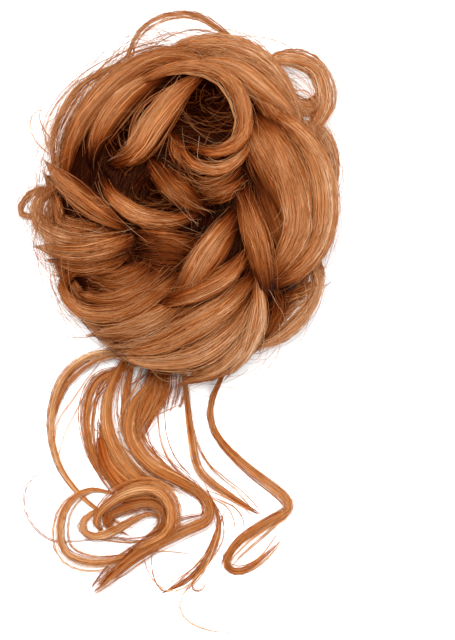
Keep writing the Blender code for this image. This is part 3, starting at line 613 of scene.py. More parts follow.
def tail_wisp(name, width, points):
    wisp = tail_lock(name, width / TAIL_LOCK_WIDTH, 0.04, points)
    wisp.path[:, 2] += rng.uniform(0.0002, 0.0016)
    return wisp


def bun_wisp(name, width, lift, points):
    wisp = bun_lock(name, width / LOCK_WIDTH, lift, points)
    wisp.free = width < THREAD_WIDTH
    return wisp


def wrap_locks():
    """Like locks that wrap the bun's side between the floor and the dome."""
    locks = []
    share = np.linspace(0, 1, WRAP_POINTS)
    for number in range(WRAPS):
        start = 2 * np.pi * (number + rng.uniform(-0.2, 0.2)) / WRAPS
        angle = start + rng.uniform(*WRAP_TURN) * share
        bulge = 0.86 + 0.19 * swell(0.12 + 0.62 * share)
        low = rng.uniform(*WRAP_START)
        height = HEIGHT * (low + rng.uniform(*WRAP_RISE) * share)
        x = np.cos(angle) * CORE_HALF_WIDTH * bulge
        y = np.sin(angle) * CORE_HALF_LENGTH * bulge
        path = bun_points(x, y, height)
        normals = unit(np.stack([np.cos(angle), np.sin(angle), 0.2 + 0 * angle], axis=1))
        half_width = rng.uniform(*WRAP_WIDTH) * end_taper(share)
        half_height = LOCK_THICKNESS / 2 * end_taper(share)
        locks.append(lock(f"wrap_{number}", path, normals, half_width, half_height, half_height))
    return locks


def companion(parent, reach, thin):
    """A thin wisp that leaves its lock's side and comes back to it."""
    share = np.linspace(0, 1, len(parent.path))
    away = rng.choice([-1, 1]) * rng.uniform(0.55, reach)
    swing = swell(share, rng.uniform(0.5, 1.2))
    swing = swing + 0.15 * np.sin(2 * np.pi * share * rng.uniform(0.8, 1.6) + rng.uniform(0, 6))
    across = parent.side * (away * swing * parent.half_width)[:, None]
    rise = parent.up * (rng.uniform(-0.5, 0.45) * swell(share) * parent.half_height)[:, None]
    half_width = thin * rng.uniform(0.7, 1.3) * end_taper(share)
    half_height = half_width * 0.7
    normals = unit(parent.up + parent.side * away * 0.5)
    wisp = lock(parent.name + "_wisp", parent.path + across + rise, normals, half_width, half_height,
                half_height, parent.dark, parent.free)
    wisp.length = parent.length
    wisp.tone = parent.tone - 0.02 + rng.normal(0, 0.035)
    return wisp


def companions(parents, count, reach, thin):
    return [companion(parent, reach, thin) for parent in parents for _ in range(count)]


def threads_of(parent):
    """The thin bundles that make up a trailing lock, each with its own course and end."""
    width = width_of(parent)
    count = max(3, round(2 * width / THREAD_WIDTH))
    thick = min(THREAD_WIDTH, 2.8 * width / count)
    share = np.linspace(0, 1, len(parent.path))
    fan = 1 + THREAD_FAN * fade_in((share - 0.7) / 0.3) ** 2
    inner = max(width - thick / 2, 0.0003) / width
    threads = []
    for number in range(count):
        place = 0.85 * ((2 * number + 1) / count - 1) + rng.normal(0, 0.14)
        across = inner * (place * fan + waves(1, len(share), 0.17, 1.0)[0])
        above = rng.uniform(-0.5, 0.9) * np.sqrt(np.clip(1.2 - across ** 2, 0.05, 1))
        path = parent.path + parent.side * (across * parent.half_width)[:, None]
        path = path + parent.up * (above * parent.half_height)[:, None]
        half_width = thick / 2 * rng.uniform(0.75, 1.35) * (0.35 + 0.65 * swell(share, 0.5))
        half_width = half_width * np.clip((1 - share) * parent.length / FREE_FADE, 0.25, 1) ** 0.5
        keep = len(share) - int(len(share) * min(rng.exponential(0.05), 0.25))
        half_width = half_width[:keep]
        thread = lock(parent.name + "_thread", path[:keep], parent.up[:keep], half_width,
                      half_width * 0.7, half_width * 0.7, parent.dark, True)
        thread.tone = parent.tone + rng.normal(0, THREAD_TONES)
        threads.append(thread)
    return threads


def at(lock_, key, t):
    """A lock's values at each share of its length in t."""
    values = getattr(lock_, key)
    places = np.linspace(0, 1, len(values))
    if values.ndim == 1:
        return np.interp(t, places, values)
    return np.stack([np.interp(t, places, values[:, axis]) for axis in range(3)], axis=-1)


def shade_of(lock_, t, angle):
    """How a lock's tone changes, as painted light and shade: darker at buried ends, sides and the bun's
    middle, lighter along it and at the rim.
    """
    place = at(lock_, "path", fade_in(t))
    across = (place[..., 0] - MIDDLE[0]) / HALF_WIDTH
    along = (place[..., 1] - MIDDLE[1]) / HALF_LENGTH
    # Painted light on the bun's rim, but not at its front
    rim = fade_in((core_radius(across, along) - RIM_START) / RIM_REACH)
    deep = -RIM_PAINTED_LIGHT * rim * (along > RIM_FRONT)
    # Painted shade in the bun's middle and in the pockets where the locks turn down
    for _, (x, y), reach, dark in PAINTED_SHADE_PLACES:
        deep = deep + dark * np.exp(-((across - x) ** 2 + (along - y) ** 2) / reach ** 2)
    # Painted shade towards buried ends
    before = np.clip(1 - t * lock_.length / END_SHADE, 0, 1.3)
    after = np.clip(1 - (1 - t) * lock_.length / END_SHADE, 0, 1.3)
    # Painted highlight round that place
    painted_highlight = PAINTED_HIGHLIGHT * np.exp(-((t - lock_.painted_highlight) / 0.2) ** 2)
    # Painted shade at the lock's sides
    side_shade = TAIL_SIDE_PAINTED_SHADE if lock_.free else SIDE_PAINTED_SHADE
    sides = side_shade * np.sin(np.clip(angle, -1.57, 1.57)) ** 4
    return painted_highlight - deep - sides - lock_.dark[0] * before ** 1.3 - lock_.dark[1] * after ** 1.3


def on_lock(lock_, t, angle, out):
    """Points on a lock's creased surface, and the directions away from its middle."""
    ridge = 1
    for (size, number, twist), phase in zip(CREASES, lock_.phase):
        ridge = ridge + size * np.sin(number * angle + phase + twist * t)
    up = np.cos(angle)
    rise = np.where(up > 0, at(lock_, "half_height", t), at(lock_, "depth", t)) * up * ridge * out
    reach = np.sin(angle) * at(lock_, "half_width", t) * out
    side = at(lock_, "side", t)
    upward = at(lock_, "up", t)
    before = np.clip(-t, 0, None) * lock_.length
    after = np.clip(t - 1, 0, None) * lock_.length
    start, first, last, end = (at(lock_, "path", np.full_like(t, share)) for share in (0, 0.05, 0.95, 1))
    points = at(lock_, "path", t) + side * reach[..., None] + upward * rise[..., None]
    points = points - unit(first - start) * before[..., None] + unit(end - last) * after[..., None]
    dive = END_DIVE * (np.maximum(before, after) / END_REACH) ** 1.5
    points[..., 2] -= np.minimum(dive, 0.8 * points[..., 2])
    return points, unit(side * np.sin(angle)[..., None] + upward * up[..., None])


def add_object(name, data):
    obj = bpy.data.objects.new(name, data)
    bpy.context.scene.collection.objects.link(obj)
    return obj


def mesh_object(name, vertices, quads, triangles, attributes, uv, material):
    """A smooth mesh from arrays, with point attributes and a map for each face corner."""
    loops = np.concatenate([quads.ravel(), triangles.ravel()]).astype(np.int32)
    sizes = np.concatenate([np.full(len(quads), 4), np.full(len(triangles), 3)]).astype(np.int32)
    starts = np.concatenate([[0], np.cumsum(sizes)[:-1]]).astype(np.int32)
    mesh = bpy.data.meshes.new(name)
    mesh.vertices.add(len(vertices))
    mesh.vertices.foreach_set("co", vertices.astype(np.float32).ravel())
    mesh.loops.add(len(loops))
    mesh.loops.foreach_set("vertex_index", loops)
    mesh.polygons.add(len(sizes))
    mesh.polygons.foreach_set("loop_start", starts)
    mesh.polygons.foreach_set("loop_total", sizes)
    for key, values in attributes.items():
        layer = mesh.attributes.new(key, "FLOAT", "POINT")
        layer.data.foreach_set("value", values.astype(np.float32).ravel())
    layer = mesh.uv_layers.new(name="OFBake")
    layer.data.foreach_set("uv", uv[loops].astype(np.float32).ravel())
    mesh.update(calc_edges=True)
    mesh.validate()
    mesh.shade_smooth()
    mesh.materials.append(material)
    return add_object(name, mesh)


def grid_faces(count, along, around):
    """Quads and end triangles of count closed tubes, whose two end points come last."""
    size = along * around + 2
    ring = np.arange(around)
    following = (ring + 1) % around
    low = np.arange(along - 1)[:, None] * around
    high = low + around
    quads = np.stack([low + ring, low + following, high + following, high + ring], axis=-1).reshape(-1, 4)
    last = (along - 1) * around
    first_end = np.stack([following, ring, np.full(around, size - 2)], axis=1)
    last_end = np.stack([last + ring, last + following, np.full(around, size - 1)], axis=1)
    triangles = np.vstack([first_end, last_end])
    offsets = (np.arange(count) * size)[:, None, None]
    return (quads + offsets).reshape(-1, 4), (triangles + offsets).reshape(-1, 3)


def tubes(name, rings, ends, attributes, columns, material):
    """One mesh of closed tubes, each in its own cell of the map.

    rings is tubes x along x around x 3, and ends is tubes x 2 x 3.
    """
    count, along, around = rings.shape[:3]
    vertices = np.concatenate([rings.reshape(count, -1, 3), ends], axis=1).reshape(-1, 3)
    quads, triangles = grid_faces(count, along, around)
    rows = math.ceil(count / columns)
    index = np.arange(count)
    corner = np.stack([(index % columns) / columns, (index // columns) / rows], axis=1)
    u = np.linspace(0.06, 0.94, along)[:, None] + np.zeros(around)
    v = np.linspace(0.15, 0.85, around)[None, :] + np.zeros((along, 1))
    grid = np.vstack([np.stack([u, v], axis=-1).reshape(-1, 2), [[0.03, 0.5], [0.97, 0.5]]])
    uv = (corner[:, None, :] + grid[None] * np.array([1 / columns, 1 / rows])).reshape(-1, 2)
    shape = (count, along * around + 2)
    filled = {key: np.broadcast_to(values, shape) for key, values in attributes.items()}
    return mesh_object(name, vertices, quads, triangles, filled, uv, material)


def rings_round(points, outward, corners, wide, high):
    """Rings of corners round each strand, and its two end points."""
    tangents = unit(np.gradient(points, axis=1))
    side = unit(np.cross(tangents, outward))
    up = np.cross(side, tangents)
    rings = [points + side * (across * wide)[..., None] + up * (above * high)[..., None]
             for across, above in corners]
    tip = 2 * wide[:, :1]
    ends = np.stack([points[:, 0] - tangents[:, 0] * tip, points[:, -1] + tangents[:, -1] * tip], axis=1)
    return np.stack(rings, axis=2), ends


def round_corners(values, corners):
    """Values along each strand, repeated for its corners and its two end points."""
    repeated = np.repeat(values, len(corners), axis=1)
    return np.concatenate([repeated, values[:, :1], values[:, -1:]], axis=1)


def waves(count, sections, size, turns):
    """Slow random waves along strands, one row for each."""
    step = steps_along(sections)
    total = np.zeros((count, sections))
    for index in range(1, 4):
        rate = uniform(count, 0.3, turns) * index
        start = uniform(count, 0, 2 * np.pi)
        total += normal(count, 1 / index) * np.sin(2 * np.pi * rate * step + start)
    return total * size


def past_ends(t, reach):
    """How strands close in on their lock's middle past its two ends."""
    return 1 - 0.5 * fade_in(np.maximum(-t, t - 1) / reach)


def strands_on(lock_, count, sections, wild):
    """Strands in clumps that run along a lock's visible side; wild is how far some stray."""
    width = width_of(lock_)
    clumps = max(2, int(2 * width / CLUMP_WIDTH))
    clump = rng.integers(0, clumps, count)
    step = steps_along(sections)
    reach = END_REACH / lock_.length
    start = uniform(clumps, -reach, 0.06)[clump] + uniform(count, -0.02, 0.04)
    end = uniform(clumps, 0.94, 1 + reach)[clump] + uniform(count, -0.04, 0.02)
    if lock_.free:
        end = 1 - rng.exponential(0.03, (clumps, 1))[clump] - uniform(count, -0.02, 0.04)
    t = start + (end - start) * step
    centre = np.linspace(-STRAND_SIDE, STRAND_SIDE, clumps)[:, None] + normal(clumps, 0.12)
    centre = centre + waves(clumps, sections, 0.14, 0.8)
    spread = STRAND_SIDE / clumps * (0.55 + 0.75 * swell(step, 0.5))
    angle = centre[clump] + normal(count, 0.75) * spread + waves(count, sections, 0.03, 1.2)
    lift = normal(clumps, 0.06)[clump] + uniform(count, -0.10, 0.09)
    out = 1 + lift * swell(fade_in(t), 0.5)
    stray = (rng.random((count, 1)) < 0.10) * uniform(count, 0.1, 1) * wild
    out = out + stray / width * swell(step * uniform(count, 0.6, 1.2), 2)
    if lock_.free:
        out = out * uniform(count, 0.6, 1.25)
        out = out + uniform(count, -0.2, 1.6) * fade_in((t - 0.75) / 0.25) ** 2
    points, outward = on_lock(lock_, t, angle, out * past_ends(t, reach))
    points = points + outward * waves(count, sections, 0.00005, 2.0)[..., None]
    radius = STRAND_RADIUS * uniform(count, 0.7, 1.25) * (0.35 + 0.65 * swell(step, 0.4))
    if lock_.free:
        radius = radius * (WISP_STRAND_SHARE if width < WISP_WIDTH else TAIL_STRAND_SHARE)
    tone = lock_.tone + normal(clumps, CLUMP_SPREAD)[clump]
    tone = tone + normal(count, STRAND_SPREAD) + shade_of(lock_, t, angle)
    tone = tone + waves(count, sections, 0.02, 1.0) + (stray > 0) * 0.06
    return points, outward, radius, tone


def ribbons_on(lock_):
    """Flat ribbons of hair that lie on a lock, each with its own start and end."""
    width = width_of(lock_)
    count = int(RIBBONS_PER_METRE * 2 * width)
    step = steps_along(RIBBON_SECTIONS)
    reach = END_REACH / lock_.length
    start = uniform(count, -reach, 0.22)
    end = uniform(count, 0.78, 1 + reach)
    t = start + (end - start) * step
    angle = uniform(count, -1.6, 1.6) + waves(count, RIBBON_SECTIONS, 0.13, 0.8)
    out = 1 + uniform(count, -0.10, 0.08) + waves(count, RIBBON_SECTIONS, 0.02, 0.8)
    points, outward = on_lock(lock_, t, angle, out * past_ends(t, reach))
    half = np.minimum(uniform(count, RIBBON_LOW, RIBBON_HIGH), width * 0.45)
    half = half * (0.06 + 0.94 * swell(step, 0.55))
    tone = lock_.tone + normal(count, CLUMP_SPREAD) + waves(count, RIBBON_SECTIONS, 0.03, 1.0)
    tone = np.minimum(tone + shade_of(lock_, t, angle), RIBBON_TOP_TONE)
    return points, outward, half, tone, t * lock_.length


def sheet_between(first, second, count, lift, wave):
    """Strand paths spread over the space between two locks that run side by side."""
    step = steps_along(RIBBON_SECTIONS)
    start = uniform(count, 0.0, 0.30)
    end = uniform(count, 0.72, 1.0)
    t = start + (end - start) * step
    here, there = first.path, second.path
    straight = np.linalg.norm(here[0] - there[0]) + np.linalg.norm(here[-1] - there[-1])
    crossed = np.linalg.norm(here[0] - there[-1]) + np.linalg.norm(here[-1] - there[0])
    other = t if straight <= crossed else 1 - t
    share = uniform(count, -0.15, 1.15) + waves(count, RIBBON_SECTIONS, wave, 0.9)
    up, other_up = at(first, "up", t), at(second, "up", other)
    near = at(first, "path", t) + up * at(first, "half_height", t)[..., None]
    far = at(second, "path", other) + other_up * at(second, "half_height", other)[..., None]
    outward = unit(up * (1 - share[..., None]) + other_up * share[..., None])
    rise = uniform(count, -0.0016, lift) * swell(step, 0.6) - 0.0005
    points = near + (far - near) * share[..., None] + outward * rise[..., None]
    tone = (first.tone + second.tone) / 2 + normal(count, CLUMP_SPREAD + 0.02)
    # Strands that rise higher get painted light, and those that sink lower get painted shade
    tone = tone + waves(count, RIBBON_SECTIONS, 0.03, 1.0) + rise * 30
    tone = tone + (1 - share) * shade_of(first, t, 0) + share * shade_of(second, other, 0)
    return points, outward, tone, t * first.length


def sheet_ribbons(first, second):
    points, outward, tone, run = sheet_between(first, second, *SHEET_RIBBONS)
    thin = np.sin(np.linspace(0.05, 3.09, RIBBON_SECTIONS)) ** 0.55
    half = uniform(len(points), RIBBON_LOW, RIBBON_HIGH) * thin
    # The ribbons between the locks get painted shade
    return points, outward, half, tone - SHEET_RIBBON_SHADE, run


def sheet_strands(first, second):
    points, outward, tone, _ = sheet_between(first, second, *SHEET_STRANDS)
    return points, outward, STRAND_RADIUS * uniform(len(points), 0.6, 1.1) + 0 * tone, tone


def ribbon_piece(name, batches, material):
    """One mesh of thin closed ribbons from several batches with the same number of sections."""
    points, outward, half, tone, run = (np.concatenate(part) for part in zip(*batches))
    points[..., 2] = np.maximum(points[..., 2], RIBBON_CLEARANCE)
    rings, ends = rings_round(points, outward, RIBBON_CORNERS, half, half * RIBBON_THICKNESS)
    count = len(points)
    turn = half[:, :, None] * np.array([across for across, _ in RIBBON_CORNERS])
    attributes = {
        "tone": round_corners(tone, RIBBON_CORNERS),
        "run": round_corners(run, RIBBON_CORNERS),
        "turn": np.concatenate([turn.reshape(count, -1), np.zeros((count, 2))], axis=1),
        "seed": np.arange(count)[:, None] * RIBBON_SEED,
    }
    return tubes(name, rings, ends, attributes, RIBBON_COLUMNS, material)


def strand_piece(name, batches, material):
    """One mesh of strands from several batches that have the same number of sections."""
    points, outward, radius, tone = (np.concatenate(part) for part in zip(*batches))
    points[..., 2] = np.maximum(points[..., 2], radius + CLEARANCE)
    rings, ends = rings_round(points, outward, STRAND_CORNERS, radius, radius)
    attributes = {"tone": round_corners(tone, STRAND_CORNERS)}
    return tubes(name, rings, ends, attributes, STRAND_COLUMNS, material)


def strand_pieces(prefix, locks, material, slot):
    """Strands on each lock, split into pieces of a limited size."""
    density, sections, wild = STRAND_GROUPS[prefix]
    groups = [[]]
    room = TRIANGLES_A_PIECE // (6 * sections)
    for lock_ in locks:
        count = max(6, int(density * 2 * width_of(lock_)))
        if lock_.free and width_of(lock_) > WIDE_LOCK:
            count //= WIDE_SHARE
        if sum(len(batch[3]) for batch in groups[-1]) + count > room:
            groups.append([])
        groups[-1].append(strands_on(lock_, count, sections, wild))
    for number, batches in enumerate(groups, 1):
        declare(strand_piece(f"{prefix}_{number}", batches, material), slot)


def lock_bodies(name, locks, material):
    """The bodies of several locks in one mesh, each a closed ridged loft."""
    along, around, size = BODY_GRIDS[name]
    t = np.linspace(0, 1, along)[:, None] + np.zeros((1, around))
    angle = np.linspace(-np.pi, np.pi, around, endpoint=False)[None, :] + np.zeros((along, 1))
    flat_t = np.concatenate([t.ravel(), [0, 1]])
    flat_angle = np.concatenate([angle.ravel(), [0, 0]])
    rings = []
    for lock_ in locks:
        out = np.full(t.shape, size)
        if lock_.free:
            out = out * np.clip((1 - t) * lock_.length / FREE_FADE, 0.1, 1) ** 0.7
        points = on_lock(lock_, t, angle, out)[0]
        points[..., 2] = np.maximum(points[..., 2], CLEARANCE)
        rings.append(points)
    rings = np.array(rings)
    attributes = {
        "tone": np.array([lock_.tone + shade_of(lock_, flat_t, flat_angle) for lock_ in locks]),
        "run": np.array([flat_t * lock_.length for lock_ in locks]),
        "turn": np.array([flat_angle / np.pi * width_of(lock_) * BODY_TURN for lock_ in locks]),
        "seed": np.arange(len(locks))[:, None] * BODY_SEED,
    }
    return tubes(name, rings, rings[:, [0, -1]].mean(axis=2), attributes, BODY_COLUMNS, material)


def principled(name, gloss):
    """A material, its node tree and its shader, with gloss as roughness and specular level."""
    material = bpy.data.materials.new(name)
    material.use_nodes = True
    tree = material.node_tree
    shader = tree.nodes["Principled BSDF"]
    shader.inputs["Roughness"].default_value = gloss[0]
    shader.inputs["Specular IOR Level"].default_value = gloss[1]
    shader.inputs["Specular Tint"].default_value = GLOSS_TINT
    return material, tree, shader


def attribute(tree, name):
    node = tree.nodes.new("ShaderNodeAttribute")
    node.attribute_name = name
    return node.outputs["Fac"]


def math_node(tree, operation, first, second):
    node = tree.nodes.new("ShaderNodeMath")
    node.operation = operation
    for socket, value in zip(node.inputs, (first, second)):
        if isinstance(value, (int, float)):
            socket.default_value = value
        else:
            tree.links.new(value, socket)
    return node.outputs[0]


def noise_node(tree, place, scale, detail):
    node = tree.nodes.new("ShaderNodeTexNoise")
    node.inputs["Scale"].default_value = scale
    node.inputs["Detail"].default_value = detail
    tree.links.new(place, node.inputs["Vector"])
    return node.outputs["Fac"]


def object_place(tree):
    return tree.nodes.new("ShaderNodeTexCoord").outputs["Object"]


def colour_by(tree, shader, tone, stops):
    """Colours the shader by a tone, through a ramp."""
    ramp = tree.nodes.new("ShaderNodeValToRGB")
    ramp.color_ramp.interpolation = "LINEAR"
    elements = ramp.color_ramp.elements
    elements[0].position, elements[0].color = stops[0]
    elements[1].position, elements[1].color = stops[-1]
    for position, colour in stops[1:-1]:
        elements.new(position).color = colour
    tree.links.new(tone, ramp.inputs["Fac"])
    tree.links.new(ramp.outputs["Color"], shader.inputs["Base Color"])


def noisy_tone(tree, noise, share, darker):
    """A piece's own tone, with a share of noise round it."""
    change = math_node(tree, "MULTIPLY_ADD", noise, share)
    change.node.inputs[2].default_value = -share / 2 - darker
    return math_node(tree, "ADD", attribute(tree, "tone"), change)


def strand_material(name, darker, stops=HAIR_TONES):
    """Hair strands: each has its own tone, with slow changes along it."""
    material, tree, shader = principled(name, STRAND_GLOSS)
    scale, detail, share = STRAND_NOISE
    noise = noise_node(tree, object_place(tree), scale, detail)
    colour_by(tree, shader, noisy_tone(tree, noise, share, darker), stops)
    return material


def lock_material(name, darker, stops=HAIR_TONES):
    """The body of a lock: fine streaks in colour and relief that run along it."""
    material, tree, shader = principled(name, LOCK_GLOSS)
    noise_scale, detail, share = LOCK_NOISE
    place = tree.nodes.new("ShaderNodeCombineXYZ")
    for axis, key, scale in (("X", "turn", STREAKS_ACROSS), ("Y", "run", STREAKS_ALONG), ("Z", "seed", 1)):
        scaled = math_node(tree, "MULTIPLY", attribute(tree, key), scale)
        tree.links.new(scaled, place.inputs[axis])
    streaks = noise_node(tree, place.outputs["Vector"], noise_scale, detail)
    colour_by(tree, shader, noisy_tone(tree, streaks, share, darker), stops)
    bump = tree.nodes.new("ShaderNodeBump")
    bump.inputs["Strength"].default_value = BUMP_STRENGTH
    bump.inputs["Distance"].default_value = BUMP_DISTANCE
    tree.links.new(streaks, bump.inputs["Height"])
    tree.links.new(bump.outputs["Normal"], shader.inputs["Normal"])
    return material


def band_material():
    material, tree, shader = principled("black_elastic", BAND_GLOSS)
    colour_by(tree, shader, noise_node(tree, object_place(tree), *BAND_WEAVE), BAND_TONES)
    return material


def declare(piece, slot, *nodes):
    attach(piece, "root")
    if nodes:
        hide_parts(*nodes)


def build_core(material):
    """The massed hair under the locks, with pits between them and a hollow for the wearer's hair."""
    turn = np.linspace(0, 2 * np.pi, CORE_AROUND, endpoint=False)
    outer = BAND_OUTER + GAP
    inner = outer - BAND_THICKNESS - GAP
    top = BAND_HIGH[2] + 2 * GAP
    rings = []
    for radius, height in ((inner * 0.5, HOLLOW_TOP), (inner, HOLLOW_TOP - GAP), (inner, top + GAP),
                           (inner + GAP, top), (outer, top), (outer, GAP)):
        x = BAND_MIDDLE[0] + radius * np.cos(turn)
        y = BAND_MIDDLE[1] + radius * np.sin(turn)
        rings.append(np.stack([x, y, height + 0 * turn], axis=1))
    crown = [(share, None) for share in np.linspace(0.96, 0.03, CORE_CROWN)]
    for share, height in [*CORE_SIDE, *crown]:
        x = np.cos(turn) * CORE_HALF_WIDTH * share
        y = np.sin(turn) * CORE_HALF_LENGTH * share
        if height is None:
            level = dome_height(share + 0 * turn) - CORE_SINK * HEIGHT
            for depth in pit_depths(x, y):
                level = level - depth
        else:
            level = height * HEIGHT + 0 * turn
        rings.append(bun_points(x, y, level))
    rings = np.array(rings)
    ends = np.array([[*BAND_MIDDLE[:2], HOLLOW_TOP], rings[-1].mean(axis=0)])
    run = np.tile(turn * CORE_HALF_WIDTH * CORE_STREAK, len(rings))
    steps = np.repeat(np.arange(len(rings)) * CORE_RING_STEP, CORE_AROUND)
    # The core's near-black tone is painted shade
    attributes = {
        "tone": np.array([[CORE_SHADE_TONE]]),
        "run": np.concatenate([run, [0, 0]])[None, :],
        "turn": np.concatenate([steps, [0, 0]])[None, :],
        "seed": np.array([[CORE_SEED]]),
    }
    obj = tubes("bun_core", rings[None], ends[None], attributes, 1, material)
    ring = BAND_OUTER - BAND_THICKNESS / 2
    for degrees in WELL_PLACES:
        angle = math.radians(degrees)
        place = (BAND_MIDDLE[0] + ring * math.cos(angle), BAND_MIDDLE[1] + ring * math.sin(angle),
                 HEIGHT / 2 + top / 2)
        bpy.ops.mesh.primitive_cylinder_add(vertices=32, radius=WELL_RADIUS, depth=HEIGHT, location=place)
        well = bpy.context.object
        cut = obj.modifiers.new("well", "BOOLEAN")
        cut.operation = "DIFFERENCE"
        cut.object = well
        depsgraph = bpy.context.evaluated_depsgraph_get()
        mesh = bpy.data.meshes.new_from_object(obj.evaluated_get(depsgraph))
        obj.modifiers.clear()
        obj.data = mesh
        bpy.data.objects.remove(well, do_unlink=True)
    return obj


def build_band(material):
    """The gathered elastic band."""
    turn = np.linspace(0, 2 * np.pi, BAND_STEPS, endpoint=False)[:, None]
    corner = np.linspace(0, 2 * np.pi, BAND_SIDES, endpoint=False)[None, :]
    thick = BAND_THICKNESS / 2
    section = thick * (0.94 + 0.06 * np.sin(16 * turn) + 0.02 * np.sin(48 * turn + 3 * corner))
    reach = BAND_OUTER - thick + section * np.cos(corner)
    vertices = np.stack([BAND_MIDDLE[0] + reach * np.cos(turn), BAND_MIDDLE[1] + reach * np.sin(turn),
                         BAND_MIDDLE[2] + section * np.sin(corner)], axis=-1).reshape(-1, 3)
    step = np.arange(BAND_STEPS)[:, None] * BAND_SIDES
    after = (step + BAND_SIDES) % (BAND_STEPS * BAND_SIDES)
    side = np.arange(BAND_SIDES)[None, :]
    following = (side + 1) % BAND_SIDES
    quads = np.stack([step + side, after + side, after + following, step + following], axis=-1)
    uv = np.stack(np.broadcast_arrays(turn, corner), axis=-1) / (2 * np.pi)
    return mesh_object("band_cover", vertices, quads.reshape(-1, 4), np.zeros((0, 3), dtype=int), {},
                       uv.reshape(-1, 2), material)


def over_dome(radius, angle, lift):
    """Points over the dome from polar places, with 1 at the core's outline, and their outward ways."""
    x = np.cos(angle) * CORE_HALF_WIDTH * radius
    y = np.sin(angle) * CORE_HALF_LENGTH * radius
    outward = dome_normals(x / HALF_WIDTH, y / HALF_LENGTH)
    return bun_points(x, y, dome_height(radius)) + outward * lift[..., None], outward


def under_strands(count, sections):
    """Strands that sweep over the core between the locks, painted near black as painted shade in the gaps.
    """
    step = steps_along(sections)
    radius = uniform(count, 0.05, 1.05) ** 0.8
    radius = radius + normal(count, 0.16) * step + waves(count, sections, 0.02, 1.0)
    start = uniform(count, 0, 2 * np.pi)
    sweep = uniform(count, 0.5, 1.4) * 0.9 / np.maximum(np.abs(radius[:, :1]), 0.35)
    angle = start + sweep * step * rng.choice([-1, 1], (count, 1))
    lift = uniform(count, -0.0032, -0.0008) + waves(count, sections, 0.0004, 1.0)
    points, outward = over_dome(np.clip(np.abs(radius), 0.02, 1.12), angle, lift)
    for depth in pit_depths(points[..., 0] - MIDDLE[0], points[..., 1] - MIDDLE[1]):
        points[..., 2] -= depth * uniform(count, 0.55, 1.0)
    width = STRAND_RADIUS * uniform(count, 0.8, 1.3) * (0.4 + 0.6 * swell(step, 0.4))
    return points, outward, width, 0.03 + rng.exponential(0.08, (count, 1)) + 0 * step


def pit_hairs(place, halves, count, sections):
    """Fine loose arcs that cross a dark hollow, deeper towards its middle."""
    step = steps_along(sections)
    start = rng.normal(-2.2, 0.9, (count, 1))
    turned = start + uniform(count, 0.5, 1.7) * step
    size = uniform(count, 0.35, 1.25) * (1 + normal(count, 0.25) * step)
    size = size + waves(count, sections, 0.02, 0.8)
    shift = rng.normal(0, 0.38, (2, count, 1))
    across = size * np.cos(turned) + shift[0]
    along = size * np.sin(turned) + 0.35 + shift[1]
    x = (place[0] + halves[0] * across) * HALF_WIDTH
    y = (place[1] + halves[1] * along) * HALF_LENGTH
    level = dome_height(np.hypot(x / CORE_HALF_WIDTH, y / CORE_HALF_LENGTH))
    deep = fade_in(1.1 - np.hypot(across, along)) * uniform(count, 0.1, 1.0)
    points = bun_points(x, y, level - 0.0004 - 0.013 * deep)
    outward = np.tile([0.0, 0.0, 1.0], (count, sections, 1))
    width = FLYAWAY_RADIUS * uniform(count, 0.8, 1.5) + 0 * step
    # Hairs deeper in the hollow are painted darker, as painted shade
    return points, outward, width, 0.54 - 0.26 * deep + normal(count, 0.12)


def rim_hairs(count, sections):
    """Stray hairs that loop out of the bun's outline."""
    step = steps_along(sections)
    start = uniform(count, -0.12, 1.12) * np.pi
    start = np.where(rng.random((count, 1)) < 0.25, uniform(count, 0, 2 * np.pi), start)
    sweep = uniform(count, 0.20, 0.75) * rng.choice([-1, 1], (count, 1), p=[0.35, 0.65])
    base = uniform(count, 0.98, 1.16)
    out = uniform(count, 0.02, 0.17) * swell(step * uniform(count, 0.55, 1.0))
    radius = np.minimum(base + out + waves(count, sections, 0.006, 0.6), 1.36)
    lift = uniform(count, 0.0, 0.0040) * swell(step)
    points, outward = over_dome(radius, start + sweep * step, lift)
    width = FLYAWAY_RADIUS * uniform(count, 0.9, 1.9) + 0 * step
    return points, outward, width, 0.62 + normal(count, 0.12) + 0 * step


def lock_strays(locks, sections, count, away, rise):
    """Stray hairs that run along each lock and bend away from it."""
    batches = []
    step = steps_along(sections)
    for lock_ in locks:
        start = uniform(count, 0, 0.6)
        t = fade_in(start + uniform(count, 0.25, 0.6) * step)
        bend = uniform(count, -1, 1) * width_of(lock_) + normal(count, away) * step ** 2.2
        bend = bend + waves(count, sections, 0.0007, 0.7)
        height = at(lock_, "half_height", t) + uniform(count, 0, rise) * swell(step)
        outward = at(lock_, "up", t)
        points = at(lock_, "path", t) + at(lock_, "side", t) * bend[..., None]
        points = points + outward * height[..., None]
        radius = FLYAWAY_RADIUS * uniform(count, 0.7, 1.3) + 0 * step
        batches.append((points, outward, radius, lock_.tone + 0.03 + normal(count, 0.09) + 0 * step))
    return batches


